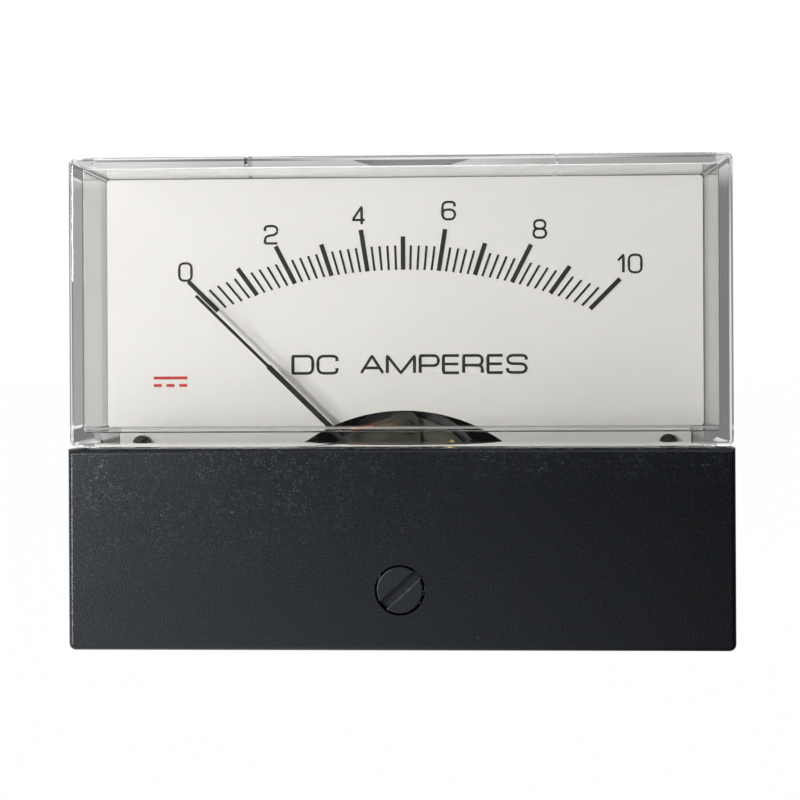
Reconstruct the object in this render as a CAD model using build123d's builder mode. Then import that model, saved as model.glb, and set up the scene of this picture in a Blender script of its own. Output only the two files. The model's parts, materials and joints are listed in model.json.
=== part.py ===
from build123d import *
from math import atan2, cos, degrees, hypot, radians, sin, sqrt
import os

# Analog panel meter with a moving-coil movement, in millimetres.
# X is to the right, Z is up and the face looks along -Y. The origin is on the barrel's axis in the panel plane,
# which is the back of the flange. A station is a distance ahead of that plane, negative behind it.

os.makedirs("parts", exist_ok=True)

# Face and flange
face_width = 76.5
face_height = 57.0
face_corner = 0.8
flange_thickness = 3.0
flange_gap = 0.15
rim_gap = 0.2

# Barrel behind the panel
flange_margin = 3.5
barrel_wall = 2.0
barrel_edge = 0.8
floor_thickness = 2.0
post_height = 15.3
post_radius = 2.6
post_spread = 28.4
post_rise = 6.0

# Clear cover
cover_wall = 1.4
cover_top_wall = 1.1
cover_front_wall = 1.8
cover_edge = 0.6
cover_inner_edge = 0.2
window_corner = 0.5
step_height = 23.4
step_wall = 1.65
step_depth = 2.5
cover_boss_radius = 2.7
boss_sink = 0.15
tongue_width = 37.0
slit_width = 0.35
slit_length = 6.0

# Black mask over the cover's lower half
mask_wall = 1.5
mask_front_wall = 2.2
mask_proud = 0.15
mask_edge = 0.6
mask_gap = 0.15

# Dial
dial_pad_height = 0.8
dial_pad_radius = 2.4
dial_thickness = 0.8
dial_gap = 0.12
dial_skirt = 5.55
dial_corner = 0.4
arch_radius = 21.4
arch_rise = 2.05
dial_screw_inset = 4.6
dial_screw_drop = 1.9
dial_screw_radius = 0.7
dial_screw_head = 1.05
dial_rest_inset = 6.85
dial_rest_drop = 3.4

# Scale: marks point at the pivot, their inner ends lie on a flatter arc
scale_sweep = 90.0
scale_divisions = 50
scale_flatness = 27.6
numeral_room = 6.13
minor_mark = 3.0
odd_mark = 4.1
even_mark = 5.2
minor_line = 0.27
major_line = 0.55
ink_thickness = 0.05

# Moving element
pivot_height = 16.55
rest_angle = 45.6
pointer_clearance = 1.9
pointer_overlap = 2.96
tip_length = 12.4
stem_width = 0.62
tip_width = 0.36
pointer_thickness = 0.4
hub_radius = 1.7
arm_length = 9.3
arm_width = 0.5
weight_radius = 0.85
weight_length = 1.9
weight_bore = 0.36

# Coil, core and yoke
core_radius = 5.2
core_length = 9.0
strip_thickness = 0.6
strip_width = 4.0
coil_end_gap = 0.6
coil_side_gap = 0.5
coil_width = 2.8
former_thickness = 0.25
former_lip = 0.2
winding_height = 0.7
yoke_gap = 0.55
yoke_wall = 2.4

# Staffs, springs and bearings
staff_boss = 1.7
staff_boss_radius = 1.0
staff_radius = 0.5
staff_pad = 0.4
staff_pad_radius = 1.35
rear_boss = 0.7
spring_lift = 0.8
collet_radius = 0.95
collet_length = 0.9
spring_height = 0.45
spring_strip = 0.12
spring_pitch = 0.7
spring_turns = 4
spring_end_gap = 0.05
pivot_cone = 0.55
pivot_point = 0.06
jewel_gap = 0.12
jewel_radius = 0.8
jewel_length = 0.9
jewel_screw_radius = 1.4
bearing_room = 0.5

# Front bridge, zero lever and zero screw
bridge_standoff = 2.2
bridge_thickness = 1.2
bridge_width = 5.0
bridge_screw_radius = 0.8
bridge_screw_head = 1.5
bridge_screw_depth = 4.0
head_height = 0.9
slot_width = 0.4
lever_gap = 0.05
lever_thickness = 0.5
lever_ring = 2.6
lever_arm = 1.6
lock_nut_across = 4.5
lock_nut_height = 0.8
screw_end = 0.6
movement_room = 0.8
zero_height = 7.0
zero_radius = 2.7
zero_hole_gap = 0.2
zero_neck = 1.6
zero_lip = 0.35
zero_lip_height = 0.5
zero_slot_width = 1.25
zero_slot_depth = 1.0
zero_slot_angle = 42.0
crank_throw = 1.0
crank_radius = 0.5
fork_gap = 0.09
fork_wall = 0.9
fork_overrun = 1.3

# Movement frame
frame_wall = 1.0
frame_floor = 1.5
frame_front = 1.0
yoke_seat = 0.6
leg_thickness = 2.4
leg_width = 5.2
stop_radius = 0.5
stop_margin = 2.6
rear_room = 2.6
frame_ear = 3.0
frame_screw_radius = 1.1
frame_screw_head = 1.9
frame_screw_depth = 8.0
tag_width = 1.0
tag_thickness = 0.5
tag_tail = 1.6
core_screw_radius = 0.5
core_screw_head = 0.85
core_screw_depth = 2.2
lug_thickness = 0.3
lug_width = 1.8
lug_tail = 0.9
lug_reach = 4.2

# Terminals, shunt and fixings
terminal_spread = 26.0
terminal_level = 6.0
terminal_radius = 2.0
terminal_head = 3.4
terminal_head_height = 1.0
terminal_pad = 5.4
terminal_pad_height = 0.8
terminal_free_end = 6.0
terminal_groove = 0.9
groove_depth = 0.3
washer_radius = 4.2
washer_thickness = 0.8
nut_across = 7.0
nut_height = 3.0
nut_edge = 0.5
shunt_thickness = 0.8
shunt_width = 7.0
shunt_tail = 0.1
shunt_foot = 1.4
shunt_rise = 6.0
stud_radius = 1.5
stud_neck = 1.9
stud_length = 12.0
stud_across = 5.5
stud_head_height = 1.5
stud_side_inset = 7.25
stud_end_inset = 11.5
cover_screw_radius = 1.0
cover_screw_head = 1.8
cover_screw_head_height = 1.5
cover_screw_grip = 8.0
head_room = 0.2
fit_gap = 0.02
hole_gap = 0.1
run_gap = 0.05
lead_radius = 0.35
lead_inset = 0.85
lead_run = 2.0
lead_swing = 4.2
lead_lift = 0.2
lead_entry = 2.2
lead_dip = 0.3
lead_lap = 0.4
lead_draw = 1.0
lead_loop = 2.4
lead_crest = 2.6
lead_turn = 1.8
lead_end = 0.8

# Stations, stacked from the panel to the front
dial_back = flange_thickness + dial_pad_height
dial_front = dial_back + dial_thickness
hub_back = dial_front + pointer_clearance
hub_front = hub_back + pointer_thickness
bridge_back = hub_front + bridge_standoff
bridge_front = bridge_back + bridge_thickness
lever_back = bridge_front + lever_gap
lever_front = lever_back + lever_thickness
nut_back = lever_front + lever_gap
nut_front = nut_back + lock_nut_height
jewel_screw_front = nut_front + screw_end
lower_inner = jewel_screw_front + movement_room
lower_front = lower_inner + cover_wall
cover_front = lower_front + step_depth
mask_front = cover_front + mask_proud
mask_inner = mask_front - mask_front_wall

# Stations of the coil and core, from the pointer backwards
winding_front = hub_back - staff_boss
former_front = winding_front - winding_height
coil_inner_front = former_front - former_thickness
strip_front = coil_inner_front - coil_end_gap
core_front = strip_front - strip_thickness
core_back = core_front - core_length
strip_back = core_back - strip_thickness
coil_inner_back = strip_back - coil_end_gap
former_back = coil_inner_back - former_thickness
winding_back = former_back - winding_height
frame_floor_front = winding_back - rear_room
frame_back = frame_floor_front - frame_floor
floor_inner = frame_back - post_height
barrel_back = floor_inner - floor_thickness

# Bearings and springs
front_collet = hub_front + spring_lift
front_spring = front_collet + (collet_length - spring_height) / 2
front_jewel_face = front_collet + collet_length + bearing_room
rear_collet = winding_back - rear_boss
rear_spring = rear_collet - (collet_length + spring_height) / 2
rear_jewel_face = rear_collet - collet_length - bearing_room
spring_end = collet_radius + spring_turns * spring_pitch
post_inner = spring_end + spring_strip / 2 + spring_end_gap
rear_nut_front = frame_back
rear_nut_back = rear_nut_front - lock_nut_height
rear_screw_back = rear_nut_back - screw_end

# Levels above the barrel's axis, counted from the face's lower edge
face_bottom = -face_height / 2
step_level = face_bottom + step_height
pivot_level = face_bottom + pivot_height
zero_level = face_bottom + zero_height
zero_drop = pivot_level - zero_level
barrel_radius = face_height / 2 - flange_margin

# Radii about the pivot
coil_inner = core_radius + coil_side_gap
former_outer = coil_inner + former_thickness
winding_outer = former_outer + winding_height
yoke_inner = sqrt(winding_outer**2 + (coil_width / 2) ** 2) + yoke_gap
yoke_outer = yoke_inner + yoke_wall
yoke_middle = (yoke_inner + yoke_outer) / 2
frame_inner = yoke_outer + fit_gap
frame_outer = frame_inner + frame_wall
leg_middle = frame_outer + leg_thickness / 2 - hole_gap
stop_circle = frame_inner + frame_wall / 2

# Clear cover and mask outlines
lower_width = face_width - 2 * (mask_wall + mask_gap)
lower_bottom = face_bottom + mask_wall + mask_gap
lower_inner_half = lower_width / 2 - cover_wall
window_half = face_width / 2 - cover_wall
window_floor = step_level + step_wall
window_top = face_height / 2 - cover_top_wall
flange_half = window_half - flange_gap
flange_lower_half = lower_inner_half - flange_gap
flange_bottom = lower_bottom + cover_wall + flange_gap
flange_step = window_floor + flange_gap
flange_top = window_top - flange_gap
boss_x = lower_inner_half - cover_boss_radius + boss_sink
boss_z = lower_bottom + cover_wall + cover_boss_radius - boss_sink

# Dial and scale in the window
dial_top = window_top - dial_gap
dial_bottom = window_floor - dial_skirt
arch_top = window_floor + arch_rise
scale_rise = dial_top - numeral_room - even_mark - pivot_level
scale_arc = scale_rise + scale_flatness

# Places that several pieces share
terminal_places = [(side * terminal_spread / 2, terminal_level) for side in (-1, 1)]
ear_places = [(side * post_spread / 2, post_rise) for side in (-1, 1)]
post_places = [(x, pivot_level + rise) for x, rise in ear_places]
dial_screw_places = [
    (side * (window_half - dial_screw_inset), window_floor - dial_screw_drop) for side in (-1, 1)
]
dial_rest_places = [
    (side * (window_half - dial_rest_inset), window_top - dial_rest_drop) for side in (-1, 1)
]
boss_places = [(side * boss_x, boss_z) for side in (-1, 1)]
stud_x = face_width / 2 - stud_side_inset
stud_z = face_height / 2 - stud_end_inset
stud_places = [(side * stud_x, end * stud_z) for side in (-1, 1) for end in (-1, 1)]
leg_places = [(side * leg_middle, 0) for side in (-1, 1)]
core_screw_places = [(0, side * yoke_middle) for side in (-1, 1)]


def face(station):
    """Plane parallel to the panel, with local x to the right and local y up, facing forward."""
    return Plane.XZ.offset(station)


def axis_face(station, turn=0.0):
    """The same plane centred on the pivot axis, turned anticlockwise as seen from the front."""
    angle = radians(turn)
    return Plane(
        origin=(0, -station, pivot_level), x_dir=(cos(angle), 0, sin(angle)), z_dir=(0, -1, 0)
    )


def zero_face(station, turn=0.0):
    """Plane centred on the zero screw's axis, turned anticlockwise as seen from the front."""
    angle = radians(turn)
    return Plane(
        origin=(0, -station, zero_level), x_dir=(cos(angle), 0, sin(angle)), z_dir=(0, -1, 0)
    )


def box_between(left, right, bottom, top):
    """Rectangle in the current sketch, given by its four sides."""
    with Locations(((left + right) / 2, (bottom + top) / 2)):
        Rectangle(right - left, top - bottom)


def rounded_between(left, right, bottom, top, radius):
    """Rectangle with four round corners in the current sketch, given by its sides."""
    with Locations(((left + right) / 2, (bottom + top) / 2)):
        RectangleRounded(right - left, top - bottom, radius)


def spiral(inner, pitch, turns):
    """Spiral of half circles in the current line, from the inner end to the outer end on local +x."""
    ends = [(-1) ** k * (inner + k * pitch / 2) for k in range(2 * turns + 1)]
    for k, (start, stop) in enumerate(zip(ends, ends[1:])):
        crest = (-1) ** k * abs(stop - start) / 2
        ThreePointArc((start, 0), ((start + stop) / 2, crest), (stop, 0))


def scale_radius(angle):
    """Distance from the pivot to a mark's inner end, at an angle from the upright."""
    drop = scale_arc - scale_rise
    return sqrt(scale_arc**2 - (drop * sin(angle)) ** 2) - drop * cos(angle)


# Base: flange inside the cover's rim, dial pads, barrel, movement posts and terminal pads in one moulding
with BuildPart() as base:
    with BuildSketch(face(0)):
        rounded_between(-flange_half, flange_half, flange_step, flange_top, face_corner)
        box_between(-flange_lower_half, flange_lower_half, flange_bottom, flange_step + face_corner)
    extrude(amount=flange_thickness)
    with BuildSketch(face(0)):
        Circle(barrel_radius)
    extrude(amount=barrel_back)
    chamfer(base.faces().sort_by(Axis.Y)[-1].edges(), barrel_edge)
    with BuildSketch(face(flange_thickness)):
        Circle(barrel_radius - barrel_wall)
    extrude(amount=floor_inner - flange_thickness, mode=Mode.SUBTRACT)
    with BuildSketch(face(flange_thickness)):
        with Locations(*dial_screw_places, *dial_rest_places):
            Circle(dial_pad_radius)
    extrude(amount=dial_pad_height)
    with BuildSketch(face(floor_inner)):
        with Locations(*post_places):
            Circle(post_radius)
    extrude(amount=post_height)
    with BuildSketch(face(barrel_back)):
        with Locations(*terminal_places):
            Circle(terminal_pad)
    extrude(amount=-terminal_pad_height)
    with BuildSketch(face(barrel_back - terminal_pad_height)):
        with Locations(*terminal_places):
            Circle(terminal_radius + fit_gap)
    extrude(amount=floor_thickness + terminal_pad_height, mode=Mode.SUBTRACT)
    with BuildSketch(face(frame_back)):
        with Locations(*post_places):
            Circle(frame_screw_radius + fit_gap)
    extrude(amount=-frame_screw_depth, mode=Mode.SUBTRACT)
    with BuildSketch(face(dial_back)):
        with Locations(*dial_screw_places):
            Circle(dial_screw_radius + fit_gap)
    extrude(amount=-dial_pad_height - flange_thickness / 2, mode=Mode.SUBTRACT)
    with BuildSketch(face(0)):
        with Locations(*stud_places):
            Circle(stud_neck + fit_gap)
    extrude(amount=flange_thickness, mode=Mode.SUBTRACT)
    with BuildSketch(face(flange_thickness)):
        with Locations(*stud_places):
            RegularPolygon(stud_across / 2 + fit_gap, 6, major_radius=False)
    extrude(amount=-stud_head_height, mode=Mode.SUBTRACT)
    with BuildSketch(face(0)):
        with Locations(*boss_places):
            Circle(cover_screw_radius + hole_gap)
    extrude(amount=flange_thickness, mode=Mode.SUBTRACT)
    with BuildSketch(face(0)):
        with Locations(*boss_places):
            Circle(cover_screw_head + hole_gap)
    extrude(amount=cover_screw_head_height + head_room, mode=Mode.SUBTRACT)
base.part.label = "base"
export_step(base.part, "parts/base.step")

# Hollow of the cover's window, with its rounded front edge
with BuildPart() as window_hollow:
    with BuildSketch(face(rim_gap)):
        rounded_between(-window_half, window_half, window_floor, window_top, window_corner)
    extrude(amount=cover_front - cover_front_wall - rim_gap)
    fillet(window_hollow.faces().sort_by(Axis.Y)[0].edges(), cover_inner_edge)

# Hollow of the cover's lower half, which opens into the window's hollow
with BuildPart() as lower_hollow:
    with BuildSketch(face(rim_gap)):
        box_between(
            -lower_inner_half, lower_inner_half, lower_bottom + cover_wall, window_floor + step_wall
        )
    extrude(amount=lower_inner - rim_gap)

# Front cover: clear window box, stepped back lower half, screw bosses and a springy tongue in the top wall
with BuildPart() as front_cover:
    with BuildSketch(face(rim_gap)):
        rounded_between(-face_width / 2, face_width / 2, step_level, face_height / 2, face_corner)
    extrude(amount=cover_front - rim_gap)
    fillet(front_cover.faces().sort_by(Axis.Y)[0].edges(), cover_edge)
    with BuildSketch(face(rim_gap)):
        rounded_between(-lower_width / 2, lower_width / 2, lower_bottom, window_floor, face_corner)
    extrude(amount=lower_front - rim_gap)
    add(window_hollow.part, mode=Mode.SUBTRACT)
    add(lower_hollow.part, mode=Mode.SUBTRACT)
    with BuildSketch(face(flange_thickness)):
        with Locations(*boss_places):
            Circle(cover_boss_radius)
    extrude(amount=lower_inner - flange_thickness)
    with BuildSketch(face(flange_thickness)):
        with Locations(*boss_places):
            Circle(cover_screw_radius + fit_gap)
    extrude(amount=cover_screw_grip, mode=Mode.SUBTRACT)
    with BuildSketch(zero_face(lower_inner)):
        Circle(zero_neck + run_gap)
    extrude(amount=cover_wall, mode=Mode.SUBTRACT)
    with BuildSketch(face(rim_gap)):
        slit_middle = (tongue_width + slit_width) / 2
        with Locations((-slit_middle, face_height / 2), (slit_middle, face_height / 2)):
            Rectangle(slit_width, 2 * cover_top_wall)
    extrude(amount=slit_length, mode=Mode.SUBTRACT)
front_cover.part.label = "front_cover"
export_step(front_cover.part, "parts/front_cover.step")

# Lower mask: black cap over the cover's lower half, open at the back and under the window
with BuildPart() as lower_mask:
    mask_half = face_width / 2 + mask_proud
    mask_top = step_level - mask_gap
    with BuildSketch(face(rim_gap)) as mask_outline:
        box_between(-mask_half, mask_half, face_bottom, mask_top)
        fillet(mask_outline.vertices().group_by(Axis.Y)[0], face_corner)
    extrude(amount=mask_front - rim_gap)
    fillet(lower_mask.faces().sort_by(Axis.Y)[0].edges(), mask_edge)
    with BuildSketch(face(rim_gap)):
        mask_inner_half = lower_width / 2 + mask_gap
        mask_floor = face_bottom + mask_wall
        rounded_between(-mask_inner_half, mask_inner_half, mask_floor, step_level + step_wall, face_corner)
    extrude(amount=mask_inner - rim_gap, mode=Mode.SUBTRACT)
    with BuildSketch(zero_face(mask_inner)):
        Circle(zero_radius + zero_hole_gap)
    extrude(amount=mask_front_wall, mode=Mode.SUBTRACT)
lower_mask.part.label = "lower_mask"
export_step(lower_mask.part, "parts/lower_mask.step")

# Zero screw: slotted head, neck through the cover, snap lip and crank pin
with BuildPart() as zero_screw:
    head_back = lower_front + run_gap
    with BuildSketch(zero_face(head_back)):
        Circle(zero_radius)
    extrude(amount=mask_front - head_back)
    fillet(zero_screw.faces().sort_by(Axis.Y)[0].edges(), zero_hole_gap)
    lip_front = lower_inner - run_gap
    with BuildSketch(zero_face(lip_front)):
        Circle(zero_neck)
    extrude(amount=head_back - lip_front)
    with BuildSketch(zero_face(lip_front)):
        Circle(zero_neck + zero_lip)
    extrude(amount=-zero_lip_height)
    with BuildSketch(zero_face(lip_front - zero_lip_height)):
        with Locations((0, crank_throw)):
            Circle(crank_radius)
    extrude(amount=-(lip_front - zero_lip_height - lever_back))
    with BuildSketch(zero_face(mask_front, zero_slot_angle)):
        Rectangle(4 * zero_radius, zero_slot_width)
    extrude(amount=-zero_slot_depth, mode=Mode.SUBTRACT)
zero_screw.part.label = "zero_screw"
export_step(zero_screw.part, "parts/zero_screw.step")

# Dial plate with its arched cut-out for the movement
with BuildPart() as dial_plate:
    dial_half = window_half - dial_gap
    dial_lower_half = lower_inner_half - dial_gap
    dial_step = window_floor + dial_gap
    with BuildSketch(face(dial_back)):
        rounded_between(-dial_half, dial_half, dial_step, dial_top, dial_corner)
        box_between(-dial_lower_half, dial_lower_half, dial_bottom, dial_step + dial_corner)
        with Locations((0, arch_top - arch_radius)):
            Circle(arch_radius, mode=Mode.SUBTRACT)
        with Locations(*dial_screw_places):
            Circle(dial_screw_radius + hole_gap, mode=Mode.SUBTRACT)
    extrude(amount=dial_thickness)
dial_plate.part.label = "dial_plate"
export_step(dial_plate.part, "parts/dial_plate.step")

# Scale marks printed on the dial, in three lengths
with BuildPart() as scale_marks:
    with BuildSketch(axis_face(dial_front)):
        for mark in range(scale_divisions + 1):
            turn = scale_sweep * (0.5 - mark / scale_divisions)
            length = minor_mark
            width = minor_line
            if mark % 5 == 0:
                length = even_mark if mark % 10 == 0 else odd_mark
                width = major_line
            middle = scale_radius(radians(turn)) + length / 2
            with Locations((-middle * sin(radians(turn)), middle * cos(radians(turn)))):
                Rectangle(width, length, rotation=turn)
    extrude(amount=ink_thickness)
scale_marks.part.label = "scale_marks"
export_step(scale_marks.part, "parts/scale_marks.step")


def slotted_screws(plane_at, places, under_head, head, shank_radius, depth, slot_turn=0.0):
    """Builder of pan-head screws driven backwards from under_head; head is its radius and height."""
    head_radius, height = head
    with BuildPart() as screws:
        with BuildSketch(plane_at(under_head)):
            with Locations(*places):
                Circle(head_radius)
        extrude(amount=height)
        with BuildSketch(plane_at(under_head)):
            with Locations(*places):
                Circle(shank_radius)
        extrude(amount=-depth)
        with BuildSketch(plane_at(under_head + height)):
            with Locations(*places):
                Rectangle(2.5 * head_radius, slot_width, rotation=slot_turn)
        extrude(amount=-height / 2, mode=Mode.SUBTRACT)
    return screws


# Dial screws
dial_screws = slotted_screws(
    face,
    dial_screw_places,
    dial_front,
    (dial_screw_head, head_height),
    dial_screw_radius,
    dial_thickness + dial_pad_height + flange_thickness / 4,
    zero_slot_angle,
)
dial_screws.part.label = "dial_screws"
export_step(dial_screws.part, "parts/dial_screws.step")

# Pointer with hub, balance arms and a thin tip
with BuildPart() as pointer:
    pointer_length = scale_radius(radians(scale_sweep / 2)) + pointer_overlap
    stem_length = pointer_length - tip_length
    with BuildSketch(axis_face(hub_back, rest_angle)):
        Circle(hub_radius)
        box_between(-stem_width / 2, stem_width / 2, 0, stem_length)
        box_between(-arm_length, arm_length, -arm_width / 2, arm_width / 2)
        box_between(-arm_width / 2, arm_width / 2, -arm_length, 0)
        Circle(staff_radius + fit_gap, mode=Mode.SUBTRACT)
    extrude(amount=pointer_thickness)
    with BuildSketch(axis_face(hub_back, rest_angle)):
        box_between(-tip_width / 2, tip_width / 2, stem_length, pointer_length)
    extrude(amount=pointer_thickness / 2)
pointer.part.label = "pointer"
export_step(pointer.part, "parts/pointer.step")

# Balance weights, wound on the three arms of the pointer
with BuildPart() as balance_weights:
    weight_station = hub_back + pointer_thickness / 2
    weight_inner_end = arm_length - weight_length
    for turn in (-90, 90, 180):
        angle = radians(rest_angle + turn)
        outward = Vector(-sin(angle), 0, cos(angle))
        weight_plane = Plane(
            origin=Vector(0, -weight_station, pivot_level) + outward * weight_inner_end, z_dir=outward
        )
        with BuildSketch(weight_plane):
            Circle(weight_radius)
            Circle(weight_bore, mode=Mode.SUBTRACT)
        extrude(amount=weight_length)
balance_weights.part.label = "balance_weights"
export_step(balance_weights.part, "parts/balance_weights.step")


def coil_plane(below):
    """Plane of the coil frame: local x across the coil, local y forward, set off away from the pointer's tip."""
    angle = radians(rest_angle)
    down = Vector(sin(angle), 0, -cos(angle))
    return Plane(
        origin=Vector(0, 0, pivot_level) + down * below, x_dir=(cos(angle), 0, sin(angle)), z_dir=down
    )


def coil_frame(half_inner, half_outer, back_inner, front_inner, thickness):
    """Rectangular frame in the current sketch, around the core and its strips."""
    box_between(-half_outer, half_outer, back_inner - thickness, front_inner + thickness)
    with Locations((0, (back_inner + front_inner) / 2)):
        Rectangle(2 * half_inner, front_inner - back_inner, mode=Mode.SUBTRACT)


# Coil former: thin metal frame with a lip on each side
with BuildPart() as coil_former:
    with BuildSketch(coil_plane(-coil_width / 2)):
        coil_frame(coil_inner, former_outer, coil_inner_back, coil_inner_front, former_thickness)
    extrude(amount=coil_width)
    for start in (-coil_width / 2, coil_width / 2 - former_lip):
        with BuildSketch(coil_plane(start)):
            lip = former_thickness + winding_height
            coil_frame(coil_inner, winding_outer, coil_inner_back, coil_inner_front, lip)
        extrude(amount=former_lip)
coil_former.part.label = "coil_former"
export_step(coil_former.part, "parts/coil_former.step")

# Coil winding between the former's lips
with BuildPart() as coil_winding:
    with BuildSketch(coil_plane(-coil_width / 2 + former_lip)):
        coil_frame(former_outer, winding_outer, former_back, former_front, winding_height)
    extrude(amount=coil_width - 2 * former_lip)
coil_winding.part.label = "coil_winding"
export_step(coil_winding.part, "parts/coil_winding.step")


def staff(base_station, boss_end, collet_station, point_station):
    """Builder of a turned staff: glued pad, boss, spindle and cone, forward or backward of its base."""
    forward = 1 if boss_end > base_station else -1
    with BuildPart() as turned:
        with BuildSketch(axis_face(base_station)):
            Circle(staff_pad_radius)
        extrude(amount=forward * staff_pad)
        with BuildSketch(axis_face(base_station)):
            Circle(staff_boss_radius)
        extrude(amount=boss_end - base_station)
        with BuildSketch(axis_face(boss_end)):
            Circle(staff_radius)
        extrude(amount=collet_station - boss_end)
        with BuildSketch(axis_face(collet_station)):
            Circle(staff_radius)
        with BuildSketch(axis_face(point_station)):
            Circle(pivot_point)
        loft()
    return turned


# Front staff carries the pointer and the front spring, rear staff the rear spring
front_point = front_jewel_face + pivot_cone - jewel_gap
front_staff = staff(winding_front, hub_back, front_collet + collet_length, front_point)
front_staff.part.label = "front_staff"
export_step(front_staff.part, "parts/front_staff.step")

rear_point = rear_jewel_face - pivot_cone + jewel_gap
rear_staff = staff(winding_back, rear_collet, rear_collet - collet_length, rear_point)
rear_staff.part.label = "rear_staff"
export_step(rear_staff.part, "parts/rear_staff.step")


def hairspring(collet_station, spring_station, outward):
    """Builder of a spiral strip on its collet, the outer end lying towards outward."""
    spring_plane = Plane(origin=(0, -spring_station, pivot_level), x_dir=outward, z_dir=(0, -1, 0))
    with BuildPart() as spring:
        with BuildSketch(axis_face(collet_station)):
            Circle(collet_radius)
            Circle(staff_radius + fit_gap, mode=Mode.SUBTRACT)
        extrude(amount=collet_length)
        with BuildSketch(spring_plane):
            with BuildLine():
                spiral(collet_radius, spring_pitch, spring_turns)
            trace(line_width=spring_strip)
        extrude(amount=spring_height)
    return spring


# Front hairspring ends below the axis at the zero lever, rear hairspring above it at the tag
front_hairspring = hairspring(front_collet, front_spring, (0, 0, -1))
front_hairspring.part.label = "front_hairspring"
export_step(front_hairspring.part, "parts/front_hairspring.step")

rear_hairspring = hairspring(rear_collet - collet_length, rear_spring, (0, 0, 1))
rear_hairspring.part.label = "rear_hairspring"
export_step(rear_hairspring.part, "parts/rear_hairspring.step")

# Core magnet
with BuildPart() as core_magnet:
    with BuildSketch(axis_face(core_back)):
        Circle(core_radius)
    extrude(amount=core_length)
core_magnet.part.label = "core_magnet"
export_step(core_magnet.part, "parts/core_magnet.step")

# Yoke ring around the coil's air gap
with BuildPart() as yoke_ring:
    with BuildSketch(axis_face(core_back)):
        Circle(yoke_outer)
        Circle(yoke_inner, mode=Mode.SUBTRACT)
    extrude(amount=core_length)
    for end, inward in ((core_front, -1), (core_back, 1)):
        with BuildSketch(axis_face(end)):
            with Locations(*core_screw_places):
                Circle(core_screw_radius + fit_gap)
        extrude(amount=inward * core_screw_depth, mode=Mode.SUBTRACT)
yoke_ring.part.label = "yoke_ring"
export_step(yoke_ring.part, "parts/yoke_ring.step")


def core_strip(station):
    """Builder of an upright strip that holds the core in the yoke, with a round end at each screw."""
    with BuildPart() as strip:
        with BuildSketch(axis_face(station)):
            SlotCenterToCenter(2 * yoke_middle, strip_width, rotation=90)
            with Locations(*core_screw_places):
                Circle(core_screw_radius + hole_gap, mode=Mode.SUBTRACT)
        extrude(amount=strip_thickness)
    return strip


# Core strips in front of and behind the core
front_core_strip = core_strip(core_front)
front_core_strip.part.label = "front_core_strip"
export_step(front_core_strip.part, "parts/front_core_strip.step")

rear_core_strip = core_strip(strip_back)
rear_core_strip.part.label = "rear_core_strip"
export_step(rear_core_strip.part, "parts/rear_core_strip.step")

# Solder lug under the upper front core screw, reaching to the left
with BuildPart() as solder_lug:
    lug_place = core_screw_places[1]
    with BuildSketch(axis_face(strip_front)):
        with Locations(lug_place):
            Circle(lug_width / 2)
        box_between(-lug_reach, 0, lug_place[1] - lug_tail / 2, lug_place[1] + lug_tail / 2)
        with Locations(lug_place):
            Circle(core_screw_radius + hole_gap, mode=Mode.SUBTRACT)
    extrude(amount=lug_thickness)
solder_lug.part.label = "solder_lug"
export_step(solder_lug.part, "parts/solder_lug.step")


def rear_axis_face(station):
    """Plane on the pivot axis that faces backward, with stations counted the other way."""
    return Plane(origin=(0, station, pivot_level), x_dir=(-1, 0, 0), z_dir=(0, 1, 0))


# Core screws: the upper front one clamps the lug too
small_head = (core_screw_head, strip_thickness)
screw_grip = core_screw_depth - hole_gap + strip_thickness
upper_front_screw = slotted_screws(
    axis_face,
    core_screw_places[1:],
    strip_front + lug_thickness,
    small_head,
    core_screw_radius,
    screw_grip,
    zero_slot_angle,
)
lower_front_screw = slotted_screws(
    axis_face, core_screw_places[:1], strip_front, small_head, core_screw_radius, screw_grip, zero_slot_angle
)
rear_pair = slotted_screws(
    rear_axis_face, core_screw_places, -strip_back, small_head, core_screw_radius, screw_grip
)
with BuildPart() as core_screws:
    add(upper_front_screw.part)
    add(lower_front_screw.part)
    add(rear_pair.part)
core_screws.part.label = "core_screws"
export_step(core_screws.part, "parts/core_screws.step")

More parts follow.
